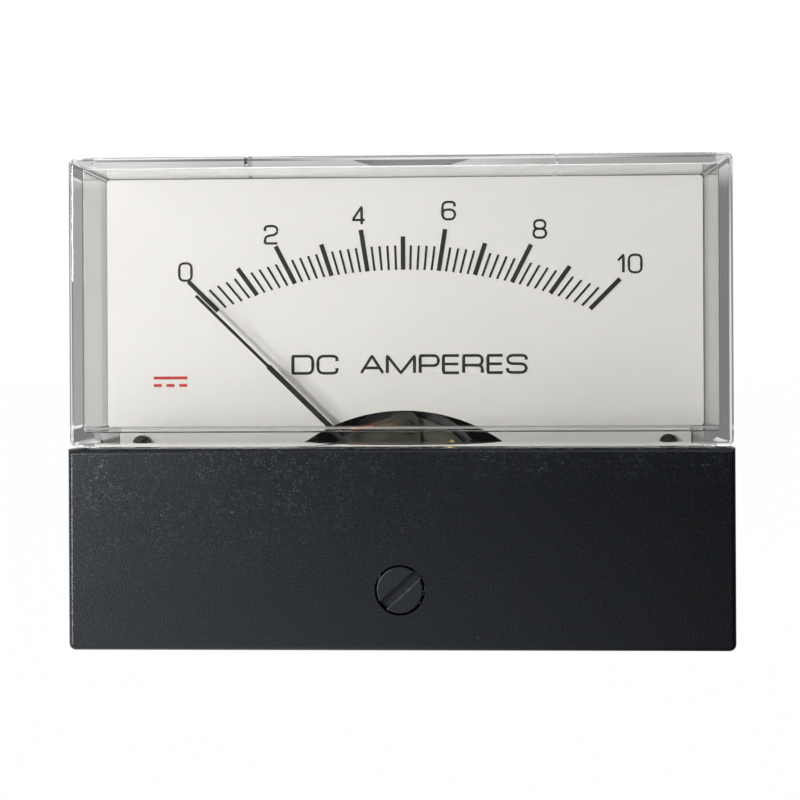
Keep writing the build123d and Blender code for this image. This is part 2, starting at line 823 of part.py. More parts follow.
# Movement frame: cup around the yoke with notches for the rear strip, floor with ears, two legs for the bridge
# and two pointer stops
with BuildPart() as movement_frame:
    with BuildSketch(axis_face(frame_back)):
        Circle(frame_outer)
        Rectangle(2 * leg_middle + leg_thickness, leg_width)
        for x, rise in ear_places:
            with Locations((x / 2, rise / 2)):
                SlotCenterToCenter(hypot(x, rise), 2 * frame_ear, rotation=degrees(atan2(rise, x)))
    extrude(amount=frame_floor)
    with BuildSketch(axis_face(frame_floor_front)):
        Circle(frame_outer)
        Circle(frame_inner - yoke_seat, mode=Mode.SUBTRACT)
    extrude(amount=core_back - frame_floor_front)
    with BuildSketch(axis_face(core_back)):
        Circle(frame_outer)
        Circle(frame_inner, mode=Mode.SUBTRACT)
    extrude(amount=frame_front - core_back)
    with BuildSketch(axis_face(core_back)):
        Rectangle(strip_width + 2 * hole_gap, 2 * frame_outer)
    extrude(amount=-2 * strip_thickness - hole_gap, mode=Mode.SUBTRACT)
    with BuildSketch(axis_face(frame_floor_front)):
        with Locations(*leg_places):
            Rectangle(leg_thickness, leg_width)
    extrude(amount=bridge_back - frame_floor_front)
    with BuildSketch(axis_face(frame_front)):
        half_width = stem_width / 2 + stop_radius
        stop_turn = rest_angle + stop_margin + degrees(half_width / stop_circle)
        with Locations(
            *[
                (side * stop_circle * sin(radians(stop_turn)), stop_circle * cos(radians(stop_turn)))
                for side in (-1, 1)
            ]
        ):
            Circle(stop_radius)
    extrude(amount=hub_front - frame_front)
    with BuildSketch(axis_face(frame_back)):
        Circle(jewel_screw_radius + fit_gap)
        with Locations(*ear_places):
            Circle(frame_screw_radius + hole_gap)
        with Locations((0, post_inner + tag_thickness / 2)):
            Rectangle(tag_width + 2 * fit_gap, tag_thickness + 2 * fit_gap)
    extrude(amount=frame_floor, mode=Mode.SUBTRACT)
    with BuildSketch(axis_face(bridge_back)):
        with Locations(*leg_places):
            Circle(bridge_screw_radius + fit_gap)
    extrude(amount=-bridge_screw_depth, mode=Mode.SUBTRACT)
movement_frame.part.label = "movement_frame"
export_step(movement_frame.part, "parts/movement_frame.step")

# Frame screws hold the movement frame on the base's posts
frame_screws = slotted_screws(
    face,
    post_places,
    frame_floor_front,
    (frame_screw_head, head_height),
    frame_screw_radius,
    frame_floor + frame_screw_depth - hole_gap,
)
frame_screws.part.label = "frame_screws"
export_step(frame_screws.part, "parts/frame_screws.step")

# Front bridge between the frame's legs
with BuildPart() as front_bridge:
    with BuildSketch(axis_face(bridge_back)):
        SlotOverall(2 * leg_middle + bridge_width, bridge_width)
        Circle(jewel_screw_radius + fit_gap, mode=Mode.SUBTRACT)
        with Locations(*leg_places):
            Circle(bridge_screw_radius + hole_gap, mode=Mode.SUBTRACT)
    extrude(amount=bridge_thickness)
front_bridge.part.label = "front_bridge"
export_step(front_bridge.part, "parts/front_bridge.step")

bridge_screws = slotted_screws(
    axis_face,
    leg_places,
    bridge_front,
    (bridge_screw_head, head_height),
    bridge_screw_radius,
    bridge_thickness + bridge_screw_depth - hole_gap,
    zero_slot_angle,
)
bridge_screws.part.label = "bridge_screws"
export_step(bridge_screws.part, "parts/bridge_screws.step")


def jewel_screw(bearing_face, free_end):
    """Builder of a slotted bearing screw with a pocket for its jewel."""
    inward = 1 if free_end > bearing_face else -1
    with BuildPart() as screw:
        with BuildSketch(axis_face(bearing_face)):
            Circle(jewel_screw_radius)
        extrude(amount=free_end - bearing_face)
        with BuildSketch(axis_face(bearing_face)):
            Circle(jewel_radius + fit_gap)
        extrude(amount=inward * jewel_length, mode=Mode.SUBTRACT)
        with BuildSketch(axis_face(free_end)):
            Rectangle(2.5 * jewel_screw_radius, slot_width)
        extrude(amount=-inward * screw_end, mode=Mode.SUBTRACT)
    return screw


# Bearing screws in the bridge and in the frame's floor
front_jewel_screw = jewel_screw(front_jewel_face, jewel_screw_front)
front_jewel_screw.part.label = "front_jewel_screw"
export_step(front_jewel_screw.part, "parts/front_jewel_screw.step")

rear_jewel_screw = jewel_screw(rear_jewel_face, rear_screw_back)
rear_jewel_screw.part.label = "rear_jewel_screw"
export_step(rear_jewel_screw.part, "parts/rear_jewel_screw.step")

# Jewels: one cup in each bearing screw
with BuildPart() as pivot_jewels:
    for bearing_face, inward in ((front_jewel_face, 1), (rear_jewel_face, -1)):
        with BuildSketch(axis_face(bearing_face)):
            Circle(jewel_radius)
        extrude(amount=inward * jewel_length)
        with BuildSketch(axis_face(bearing_face)):
            Circle(staff_radius)
        with BuildSketch(axis_face(bearing_face + inward * pivot_cone)):
            Circle(pivot_point)
        loft(mode=Mode.SUBTRACT)
pivot_jewels.part.label = "pivot_jewels"
export_step(pivot_jewels.part, "parts/pivot_jewels.step")

# Lock nuts on both bearing screws
with BuildPart() as lock_nuts:
    for station, forward in ((nut_back, 1), (rear_nut_front, -1)):
        with BuildSketch(axis_face(station)):
            RegularPolygon(lock_nut_across / 2, 6, major_radius=False)
            Circle(jewel_screw_radius + fit_gap, mode=Mode.SUBTRACT)
        extrude(amount=forward * lock_nut_height)
lock_nuts.part.label = "lock_nuts"
export_step(lock_nuts.part, "parts/lock_nuts.step")

# Zero lever: ring on the front bearing screw, post for the spring, fork around the crank pin
with BuildPart() as zero_lever:
    crank_level = -(zero_drop - crank_throw)
    fork_half = crank_radius + fork_gap
    fork_bottom = crank_level - fork_overrun
    slot_top = crank_level + crank_radius + 2 * hole_gap
    fork_top = slot_top + fork_wall
    with BuildSketch(axis_face(lever_back)):
        Circle(lever_ring)
        box_between(-lever_arm / 2, lever_arm / 2, fork_top, 0)
        box_between(-fork_half - fork_wall, fork_half + fork_wall, fork_bottom, fork_top)
        Circle(jewel_screw_radius + run_gap, mode=Mode.SUBTRACT)
        with Locations((0, (fork_bottom + slot_top) / 2)):
            Rectangle(2 * fork_half, slot_top - fork_bottom, mode=Mode.SUBTRACT)
    extrude(amount=lever_thickness)
    with BuildSketch(axis_face(lever_back)):
        box_between(-lever_arm / 2, lever_arm / 2, -post_inner - tag_thickness, -post_inner)
    extrude(amount=front_spring - lever_back)
zero_lever.part.label = "zero_lever"
export_step(zero_lever.part, "parts/zero_lever.step")

# Rear spring tag through the frame's floor
with BuildPart() as rear_spring_tag:
    tag_back = frame_back - tag_tail
    with BuildSketch(axis_face(tag_back)):
        with Locations((0, post_inner + tag_thickness / 2)):
            Rectangle(tag_width, tag_thickness)
    extrude(amount=rear_spring + spring_height - tag_back)
rear_spring_tag.part.label = "rear_spring_tag"
export_step(rear_spring_tag.part, "parts/rear_spring_tag.step")

# Terminal studs: head inside on the shunt, relieved before the free end
with BuildPart() as terminal_studs:
    shunt_front = floor_inner + shunt_thickness
    pad_back = barrel_back - terminal_pad_height
    clamp_back = pad_back - 2 * washer_thickness - 2 * nut_height
    stud_back = clamp_back - terminal_groove - terminal_free_end
    with BuildSketch(face(shunt_front)):
        with Locations(*terminal_places):
            Circle(terminal_head)
    extrude(amount=terminal_head_height)
    with BuildSketch(face(shunt_front)):
        with Locations(*terminal_places):
            Circle(terminal_radius)
    extrude(amount=clamp_back - shunt_front)
    with BuildSketch(face(clamp_back)):
        with Locations(*terminal_places):
            Circle(terminal_radius - groove_depth)
    extrude(amount=-terminal_groove)
    with BuildSketch(face(clamp_back - terminal_groove)):
        with Locations(*terminal_places):
            Circle(terminal_radius)
    extrude(amount=-terminal_free_end)
    chamfer(terminal_studs.faces().group_by(Axis.Y)[-1].edges(), groove_depth)
terminal_studs.part.label = "terminal_studs"
export_step(terminal_studs.part, "parts/terminal_studs.step")

# Terminal washers and nuts, two of each on a stud
with BuildPart() as terminal_washers:
    for station in (pad_back, pad_back - washer_thickness - nut_height):
        with BuildSketch(face(station)):
            with Locations(*terminal_places):
                Circle(washer_radius)
                Circle(terminal_radius + hole_gap, mode=Mode.SUBTRACT)
        extrude(amount=-washer_thickness)
terminal_washers.part.label = "terminal_washers"
export_step(terminal_washers.part, "parts/terminal_washers.step")

# Rounded hexagon corners come from a cylinder with chamfered ends
with BuildPart() as nut_blank:
    Cylinder(nut_across / 2 / cos(radians(30)), nut_height)
    chamfer(nut_blank.edges().filter_by(GeomType.CIRCLE), nut_edge)
with BuildPart() as single_nut:
    with BuildSketch(Plane.XY.offset(-nut_height / 2)):
        RegularPolygon(nut_across / 2, 6, major_radius=False)
        Circle(terminal_radius + fit_gap, mode=Mode.SUBTRACT)
    extrude(amount=nut_height)
    add(nut_blank.part, mode=Mode.INTERSECT)
with BuildPart() as terminal_nuts:
    for station in (pad_back - washer_thickness, pad_back - 2 * washer_thickness - nut_height):
        for x, z in terminal_places:
            with Locations(Location((x, -station + nut_height / 2, z), (90, 0, 0))):
                add(single_nut.part)
terminal_nuts.part.label = "terminal_nuts"
export_step(terminal_nuts.part, "parts/terminal_nuts.step")

# Shunt strip: bent up between the two terminals, with round tails
with BuildPart() as shunt_strip:
    outer_x = terminal_spread / 2 + terminal_head + shunt_tail
    inner_x = terminal_spread / 2 - terminal_head - shunt_foot
    crest_x = inner_x - shunt_rise
    low = -floor_inner
    high = low - shunt_rise
    with BuildSketch(Plane.XY.offset(terminal_level - shunt_width / 2)):
        with BuildLine() as shunt_line:
            Polyline((-outer_x, low), (-inner_x, low), (-crest_x, high), (0, high))
            mirror(shunt_line.line, about=Plane.YZ)
            offset(amount=shunt_thickness, side=Side.RIGHT)
        make_face()
    extrude(amount=shunt_width)
    tail_corners = shunt_strip.edges().filter_by(Axis.Y).group_by(Axis.X)
    fillet(tail_corners[0] + tail_corners[-1], shunt_width / 2 - hole_gap)
    with BuildSketch(face(floor_inner)):
        with Locations(*terminal_places):
            Circle(terminal_radius + fit_gap)
    extrude(amount=shunt_thickness, mode=Mode.SUBTRACT)
shunt_strip.part.label = "shunt_strip"
export_step(shunt_strip.part, "parts/shunt_strip.step")

# Leads from the shunt's feet to the solder lug in front and to the rear spring tag
lead_x = inner_x + lead_inset
lug_level = pivot_level + lug_place[1]
lug_front = strip_front + lug_thickness + lead_radius
tag_level = pivot_level + post_inner + tag_thickness + lead_radius
lead_routes = [
    [
        (-lead_x, -shunt_front, terminal_level),
        (-lead_x, -frame_floor_front - lead_run, terminal_level),
        (-lug_reach - lead_swing, -frame_front - lead_lap, lug_level + lead_lift),
        (-lug_reach - lead_entry, -lug_front, lug_level - lead_dip),
        (-lug_reach + lead_lap, -lug_front, lug_level),
    ],
    [
        (lead_x, -shunt_front, terminal_level),
        (lead_x, high - shunt_thickness, terminal_level),
        (lead_x / 2 - lead_draw, -tag_back + lead_loop, tag_level + lead_crest),
        (0.0, -tag_back + lead_turn, tag_level),
        (0.0, -tag_back - lead_end, tag_level),
    ],
]
lead_bends = [[6.0, 3.0, 1.2], [4.0, 2.0, 1.0]]
with BuildPart() as leads:
    for route, bends in zip(lead_routes, lead_bends):
        with BuildLine() as lead_line:
            FilletPolyline(*route, radius=bends)
        with BuildSketch(Plane(origin=route[0], z_dir=(0, -1, 0))):
            Circle(lead_radius)
        sweep(path=lead_line.line)
leads.part.label = "leads"
export_step(leads.part, "parts/leads.step")

# Fixing studs with hexagon heads and pressed necks sunk in the flange
with BuildPart() as fixing_studs:
    with BuildSketch(face(flange_thickness)):
        with Locations(*stud_places):
            RegularPolygon(stud_across / 2, 6, major_radius=False)
    extrude(amount=-stud_head_height)
    with BuildSketch(face(flange_thickness - stud_head_height)):
        with Locations(*stud_places):
            Circle(stud_neck)
    extrude(amount=stud_head_height - flange_thickness)
    with BuildSketch(face(0)):
        with Locations(*stud_places):
            Circle(stud_radius)
    extrude(amount=-stud_length)
    chamfer(fixing_studs.faces().group_by(Axis.Y)[-1].edges(), groove_depth)
fixing_studs.part.label = "fixing_studs"
export_step(fixing_studs.part, "parts/fixing_studs.step")

# Cover screws from the back of the flange into the cover's bosses
with BuildPart() as cover_screws:
    head_seat = cover_screw_head_height + head_room
    with BuildSketch(face(head_seat)):
        with Locations(*boss_places):
            Circle(cover_screw_head)
    extrude(amount=-cover_screw_head_height)
    with BuildSketch(face(head_seat)):
        with Locations(*boss_places):
            Circle(cover_screw_radius)
    extrude(amount=flange_thickness - head_seat + cover_screw_grip - hole_gap)
    with BuildSketch(face(head_room)):
        with Locations(*boss_places):
            Rectangle(1.5 * cover_screw_head, slot_width, rotation=zero_slot_angle)
            Rectangle(slot_width, 1.5 * cover_screw_head, rotation=zero_slot_angle)
    extrude(amount=cover_screw_head_height / 2, mode=Mode.SUBTRACT)
cover_screws.part.label = "cover_screws"
export_step(cover_screws.part, "parts/cover_screws.step")
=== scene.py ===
"""Studio scene of an analog panel meter: dial print, moulded marks, finishes, light and camera.

All lengths are metres in the meter's own frame: X to the right, Z up, the face looking along -Y, and the
origin on the barrel's axis in the plane of the flange's back.
"""

import json
import logging
import math
from dataclasses import dataclass, field
from enum import Enum
from typing import Any, Sequence

import bpy
from mathutils import Euler, Matrix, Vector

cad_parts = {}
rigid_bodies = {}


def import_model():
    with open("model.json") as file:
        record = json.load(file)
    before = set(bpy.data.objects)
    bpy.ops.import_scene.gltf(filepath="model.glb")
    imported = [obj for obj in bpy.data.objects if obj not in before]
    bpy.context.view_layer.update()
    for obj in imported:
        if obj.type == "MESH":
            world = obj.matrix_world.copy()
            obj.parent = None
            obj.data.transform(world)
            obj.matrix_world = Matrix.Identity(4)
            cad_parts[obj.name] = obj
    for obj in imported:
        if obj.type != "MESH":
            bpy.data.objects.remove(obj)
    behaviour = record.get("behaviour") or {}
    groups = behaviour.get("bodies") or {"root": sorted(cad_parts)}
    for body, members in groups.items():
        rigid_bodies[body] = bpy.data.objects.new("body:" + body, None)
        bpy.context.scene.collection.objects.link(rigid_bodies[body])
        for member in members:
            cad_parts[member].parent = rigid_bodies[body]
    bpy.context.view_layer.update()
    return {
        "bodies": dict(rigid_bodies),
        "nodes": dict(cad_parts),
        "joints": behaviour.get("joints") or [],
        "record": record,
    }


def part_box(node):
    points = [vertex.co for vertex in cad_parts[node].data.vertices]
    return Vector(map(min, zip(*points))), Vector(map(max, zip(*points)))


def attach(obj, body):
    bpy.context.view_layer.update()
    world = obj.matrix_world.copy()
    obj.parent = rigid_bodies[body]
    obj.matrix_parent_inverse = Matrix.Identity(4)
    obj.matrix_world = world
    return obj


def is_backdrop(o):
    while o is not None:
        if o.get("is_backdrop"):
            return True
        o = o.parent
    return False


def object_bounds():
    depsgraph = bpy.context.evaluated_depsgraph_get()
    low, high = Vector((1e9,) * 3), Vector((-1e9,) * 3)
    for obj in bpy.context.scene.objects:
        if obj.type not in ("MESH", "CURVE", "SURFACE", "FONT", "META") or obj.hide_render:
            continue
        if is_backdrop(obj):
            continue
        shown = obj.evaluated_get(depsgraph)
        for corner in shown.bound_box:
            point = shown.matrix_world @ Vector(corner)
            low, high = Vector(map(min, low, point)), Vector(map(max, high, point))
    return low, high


MM = 0.001
IMAGE_SIZE = 800

LOG = logging.getLogger("panel_meter")

Colour = tuple[float, float, float]
Point = tuple[float, float]

# Threshold at which a mask starts to rise, and the rise over which it reaches 1
Edge = tuple[float, float]


class Signal:
    """A number carried by a shader socket, with arithmetic that adds Math nodes."""

    def __init__(self, paint: "Paint", socket: bpy.types.NodeSocket) -> None:
        """Keeps the socket and the paint whose node tree it is in."""
        self.paint = paint
        self.socket = socket

    def math(self, operation: str, *operands: Any) -> "Signal":
        """Adds one Math node.

        Args:
            operation: Name of the Math node's operation.
            operands: Numbers or signals, in the order of the node's sockets.

        Returns:
            The node's result.
        """
        return self.paint.node("ShaderNodeMath", {"operation": operation}, dict(enumerate(operands)))

    def __add__(self, other: Any) -> "Signal":
        """Sum with a number or a signal."""
        return self.math("ADD", self, other)

    __radd__ = __add__

    def __sub__(self, other: Any) -> "Signal":
        """This signal less a number or a signal."""
        return self.math("SUBTRACT", self, other)

    def __rsub__(self, other: Any) -> "Signal":
        """A number less this signal."""
        return self.math("SUBTRACT", other, self)

    def __mul__(self, other: Any) -> "Signal":
        """Product with a number or a signal."""
        return self.math("MULTIPLY", self, other)

    __rmul__ = __mul__

    def __or__(self, other: Any) -> "Signal":
        """The larger of two signals."""
        return self.math("MAXIMUM", self, other)

    def above(self, threshold: float, softness: float) -> "Signal":
        """Mask that rises from 0 to 1 where the signal passes a threshold.

        Args:
            threshold: Value at which the mask starts to rise.
            softness: Rise of the signal over which the mask reaches 1.

        Returns:
            The mask, kept between 0 and 1.
        """
        ramp = {"Value": self, "From Min": threshold, "From Max": threshold + softness}
        return self.paint.node("ShaderNodeMapRange", {"clamp": True}, ramp)


class Paint:
    """Node tree of a material or a world, with one method that adds any node."""

    def __init__(self, tree: bpy.types.NodeTree, output: str = "ShaderNodeOutputMaterial") -> None:
        """Empties the tree and starts it with its output node."""
        self.tree = tree
        tree.nodes.clear()
        self.output = tree.nodes.new(output)

    def node(
        self,
        kind: str,
        settings: dict[str, Any] | None = None,
        inputs: dict[str | int, Any] | None = None,
        output: str | int = 0,
    ) -> Signal:
        """Adds a node.

        Args:
            kind: Type of the node.
            settings: Attributes of the node, set before its sockets.
            inputs: Numbers, colours or signals by the name or place of the socket.
            output: Name or place of the socket to return.

        Returns:
            The chosen output.
        """
        node = self.tree.nodes.new(kind)
        for name, value in (settings or {}).items():
            setattr(node, name, value)
        for key, value in (inputs or {}).items():
            self.feed(node.inputs[key], value)
        return Signal(self, node.outputs[output])

    def feed(self, socket: bpy.types.NodeSocket, value: Any) -> None:
        """Links a signal to a socket, or sets the socket's own value."""
        if isinstance(value, Signal):
            self.tree.links.new(value.socket, socket)
        else:
            socket.default_value = (*value, 1.0) if socket.type == "RGBA" else value

    def finish(self, shader: Signal, part: str = "Surface") -> None:
        """Links a shader to the surface or the volume of the tree's output."""
        self.tree.links.new(shader.socket, self.output.inputs[part])

    def place(self, scale: Sequence[float] = (1, 1, 1), turn: Sequence[float] = (0, 0, 0)) -> Signal:
        """Object coordinates, stretched and turned.

        Args:
            scale: Factors along the three axes.
            turn: Angles about the three axes, in radians.

        Returns:
            The coordinates as a vector.
        """
        raw = self.node("ShaderNodeTexCoord", output="Object")
        return self.node("ShaderNodeMapping", inputs={"Vector": raw, "Rotation": turn, "Scale": scale})

    def axes(self, vector: Signal, names: str) -> list[Signal]:
        """Parts of a vector along its axes.

        Args:
            vector: The vector.
            names: Letters of the axes, in the order of the result.

        Returns:
            One signal for each axis.
        """
        return [self.node("ShaderNodeSeparateXYZ", inputs={"Vector": vector}, output=axis) for axis in names]

    def noise(self, place: Signal, size: float, detail: float = 2.0) -> Signal:
        """Cloudy noise between 0 and 1.

        Args:
            place: Coordinates that the noise follows.
            size: Width of one cloud, in metres.
            detail: Number of finer layers.

        Returns:
            The noise.
        """
        inputs = {"Vector": place, "Scale": 1 / size, "Detail": detail}
        return self.node("ShaderNodeTexNoise", inputs=inputs)

    def specks(self, place: Signal, spacing: float, share: float) -> Signal:
        """Mask of small scattered dots.

        Args:
            place: Coordinates that the dots follow.
            spacing: Mean distance between dots, in metres.
            share: Radius of a dot as a share of the spacing.

        Returns:
            The mask.
        """
        far = self.node("ShaderNodeTexVoronoi", inputs={"Vector": place, "Scale": 1 / spacing})
        return 1 - far.above(share * 0.6, share * 0.4)

    def bands(self, place: Signal, axis: str, pitch: float) -> Signal:
        """Even waves along an axis.

        Args:
            place: Coordinates that the waves follow.
            axis: Axis along which the waves repeat.
            pitch: Distance from crest to crest, in metres.

        Returns:
            The waves, between 0 and 1.
        """
        settings = {"wave_type": "BANDS", "bands_direction": axis}
        inputs = {"Vector": place, "Scale": math.tau / 20 / pitch}
        return self.node("ShaderNodeTexWave", settings, inputs, "Fac")

    def blend(self, amount: Signal | float, low: Signal | Colour, high: Signal | Colour) -> Signal:
        """Colour between two colours.

        Args:
            amount: 0 for the first colour, 1 for the second.
            low: First colour.
            high: Second colour.

        Returns:
            The mixed colour.
        """
        inputs = {"Factor": amount, 6: low, 7: high}
        return self.node("ShaderNodeMix", {"data_type": "RGBA"}, inputs, 2)

    def bump(self, height: Signal, depth: float) -> Signal:
        """Normal of a surface with a fine relief.

        Args:
            height: Relief between 0 and 1.
            depth: Height of the relief, in metres.

        Returns:
            The bent normal.
        """
        inputs = {"Height": height, "Distance": depth, "Strength": 1.0}
        return self.node("ShaderNodeBump", inputs=inputs)

    def ray(self, *kinds: str) -> Signal:
        """1 on rays of any of the given kinds, named as on the Light Path node."""
        found = [self.node("ShaderNodeLightPath", output=kind) for kind in kinds]
        total = found[0]
        for other in found[1:]:
            total = total | other
        return total


@dataclass(frozen=True)
class Finish:
    """A finish that makes its own material."""

    name: str

    def make(self) -> bpy.types.Material:
        """Makes the material and shades it."""
        material = bpy.data.materials.new(self.name)
        material.use_nodes = True
        self.shade(Paint(material.node_tree))
        return material

    def shade(self, paint: Paint) -> None:
        """Builds the shader; each finish has its own."""
        raise NotImplementedError


@dataclass(frozen=True)
class GrainedPlastic(Finish):
    """Black plastic with a fine grain, painted glints at the top left and top edge, a little dust and a few
    scratches.
    """

    colour: Colour = (0.0022, 0.0027, 0.0036)
    fleck: Colour = (0.009, 0.011, 0.014)
    glint: Colour = (0.30, 0.33, 0.37)
    scratch: Colour = (0.12, 0.12, 0.125)
    # Colour of a painted highlight along an edge, used on slotted screws
    edge_highlight: Colour = (0.13, 0.13, 0.125)
    dust_colour: Colour = (0.32, 0.32, 0.31)
    sheen: Colour = (0.86, 0.93, 1.0)
    grain: float = 0.22 * MM
    relief: float = 0.016 * MM
    roughness: float = 0.23
    dust: float = 0.6
    cloud_size: float = 14 * MM
    glint_spacing: float = 0.21 * MM
    glint_share: float = 0.38
    glint_gap_size: float = 0.5 * MM
    patch_size: float = 4 * MM
    dust_spacing: float = 3.4 * MM
    dust_share: float = 0.045
    dust_patch: float = 9 * MM
    scratch_stretch: Sequence[float] = (160, 160, 14)
    scratch_turn: float = 0.5
    scratch_strength: float = 0.35
    rim_strength: float = 0.4
    sparkle_edge: Edge = (0.58, 0.14)
    glint_gap_edge: Edge = (0.40, 0.3)
    patch_edge: Edge = (0.40, 0.25)
    dust_edge: Edge = (0.52, 0.1)
    scratch_edge: Edge = (0.80, 0.03)
    glint_across: Edge = (-14 * MM, 62 * MM)
    glint_up: Edge = (-22 * MM, 15 * MM)
    glint_rim: Edge = (-9.5 * MM, 3 * MM)

    def shade(self, paint: Paint) -> None:
        """Flecks of grain over black, painted glints near the top left and along the top edge, scratches,
        and dust on top.
        """
        place = paint.place()
        grain = paint.noise(place, self.grain, 1.0)
        cloud = paint.noise(place, self.cloud_size, 3.0)
        sparkle = grain.above(*self.sparkle_edge)
        side, rise = paint.axes(place, "XZ")
        # Painted glints: light specks in the colour, strongest at the top left and along the top edge, stand
        # in for reflected light
        painted_glint_area = (0 - side).above(*self.glint_across) * rise.above(*self.glint_up)
        painted_glint_area = painted_glint_area | self.rim_strength * rise.above(*self.glint_rim)
        glint_specks = paint.specks(place, self.glint_spacing, self.glint_share)
        glint_specks = glint_specks * paint.noise(place, self.glint_gap_size, 1.0).above(*self.glint_gap_edge)
        patches = 0.25 + 0.75 * paint.noise(place, self.patch_size, 2.0).above(*self.patch_edge)
        dots = paint.specks(place, self.dust_spacing, self.dust_share)
        dust = dots * paint.noise(place, self.dust_patch, 0.0).above(*self.dust_edge) * self.dust
        scratch_place = paint.place(self.scratch_stretch, (0.0, self.scratch_turn, 0.0))
        scratches = paint.noise(scratch_place, 1.0, 0.0).above(*self.scratch_edge) * self.dust
        black = paint.blend(sparkle * (0.55 + 0.45 * cloud), self.colour, self.fleck)
        glinting = paint.blend(glint_specks * patches * painted_glint_area, black, self.glint)
        worn = paint.blend(scratches * self.scratch_strength, glinting, self.scratch)
        # Painted highlight: a light line along an edge, standing in for light caught by the edge
        highlighted = paint.blend(self.painted_edge_highlight(paint), worn, self.edge_highlight)
        dusty = paint.blend(dust, highlighted, self.dust_colour)
        shader = paint.node(
            "ShaderNodeBsdfPrincipled",
            inputs={
                "Base Color": dusty,
                "Roughness": self.roughness + 0.16 * grain - 0.06 * cloud,
                "Specular IOR Level": 0.5,
                "Specular Tint": self.sheen,
                "Normal": paint.bump(grain, self.relief),
            },
        )
        paint.finish(shader)

    def painted_edge_highlight(self, paint: Paint) -> Signal | float:
        """Mask of a painted highlight along an edge, none on a plain piece."""
        return 0.0


@dataclass(frozen=True)
class SlotHighlightPlastic(GrainedPlastic):
    """Grained plastic of a slotted screw, with a painted highlight along the slot's lower edge."""

    middle: Point = (0.0, 0.0)
    slot_turn: float = math.radians(42)
    slot_half: float = 0.625 * MM
    line: float = 0.06 * MM
    line_soft: float = 0.03 * MM
    gap_size: float = 0.7 * MM
    gap_edge: Edge = (0.42, 0.2)

    def painted_edge_highlight(self, paint: Paint) -> Signal | float:
        """Broken thin painted highlight just outside the slot's lower edge.

        Args:
            paint: Node tree that takes the nodes.

        Returns:
            The mask.
        """
        # Painted highlight where the slot's lower chamfer would catch light from above
        (across,) = paint.axes(paint.place(turn=(0, self.slot_turn, 0)), "Z")
        axis = self.middle[1] * math.cos(self.slot_turn) - self.middle[0] * math.sin(self.slot_turn)
        below = axis - self.slot_half - across
        line = below.above(-self.line_soft, self.line_soft) * (1 - below.above(self.line, self.line_soft))
        return line * (0.25 + 0.75 * paint.noise(paint.place(), self.gap_size, 1.0).above(*self.gap_edge))


@dataclass(frozen=True)
class MouldedPlastic(Finish):
    """Black moulding with faint flow marks and a slight gloss."""

    colour: Colour = (0.010, 0.010, 0.011)
    streak: Colour = (0.022, 0.021, 0.021)
    dust_colour: Colour = (0.2, 0.2, 0.19)
    roughness: float = 0.10
    flow_size: float = 6 * MM
    flow_stretch: Sequence[float] = (1.0, 0.25, 1.0)
    skin_size: float = 0.35 * MM
    relief: float = 0.012 * MM
    dust_spacing: float = 4.2 * MM
    dust_share: float = 0.04
    dust_strength: float = 0.4
    flow_edge: Edge = (0.42, 0.4)

    def shade(self, paint: Paint) -> None:
        """Flow marks along the depth and a soft skin."""
        flow = paint.noise(paint.place(self.flow_stretch), self.flow_size, 4.0)
        skin = paint.noise(paint.place(), self.skin_size, 2.0)
        dust = paint.specks(paint.place(), self.dust_spacing, self.dust_share)
        black = paint.blend(flow.above(*self.flow_edge), self.colour, self.streak)
        shader = paint.node(
            "ShaderNodeBsdfPrincipled",
            inputs={
                "Base Color": paint.blend(dust * self.dust_strength, black, self.dust_colour),
                "Roughness": self.roughness + 0.12 * flow + 0.04 * skin,
                "Specular IOR Level": 0.5,
                "Normal": paint.bump(skin, self.relief),
            },
        )
        paint.finish(shader)


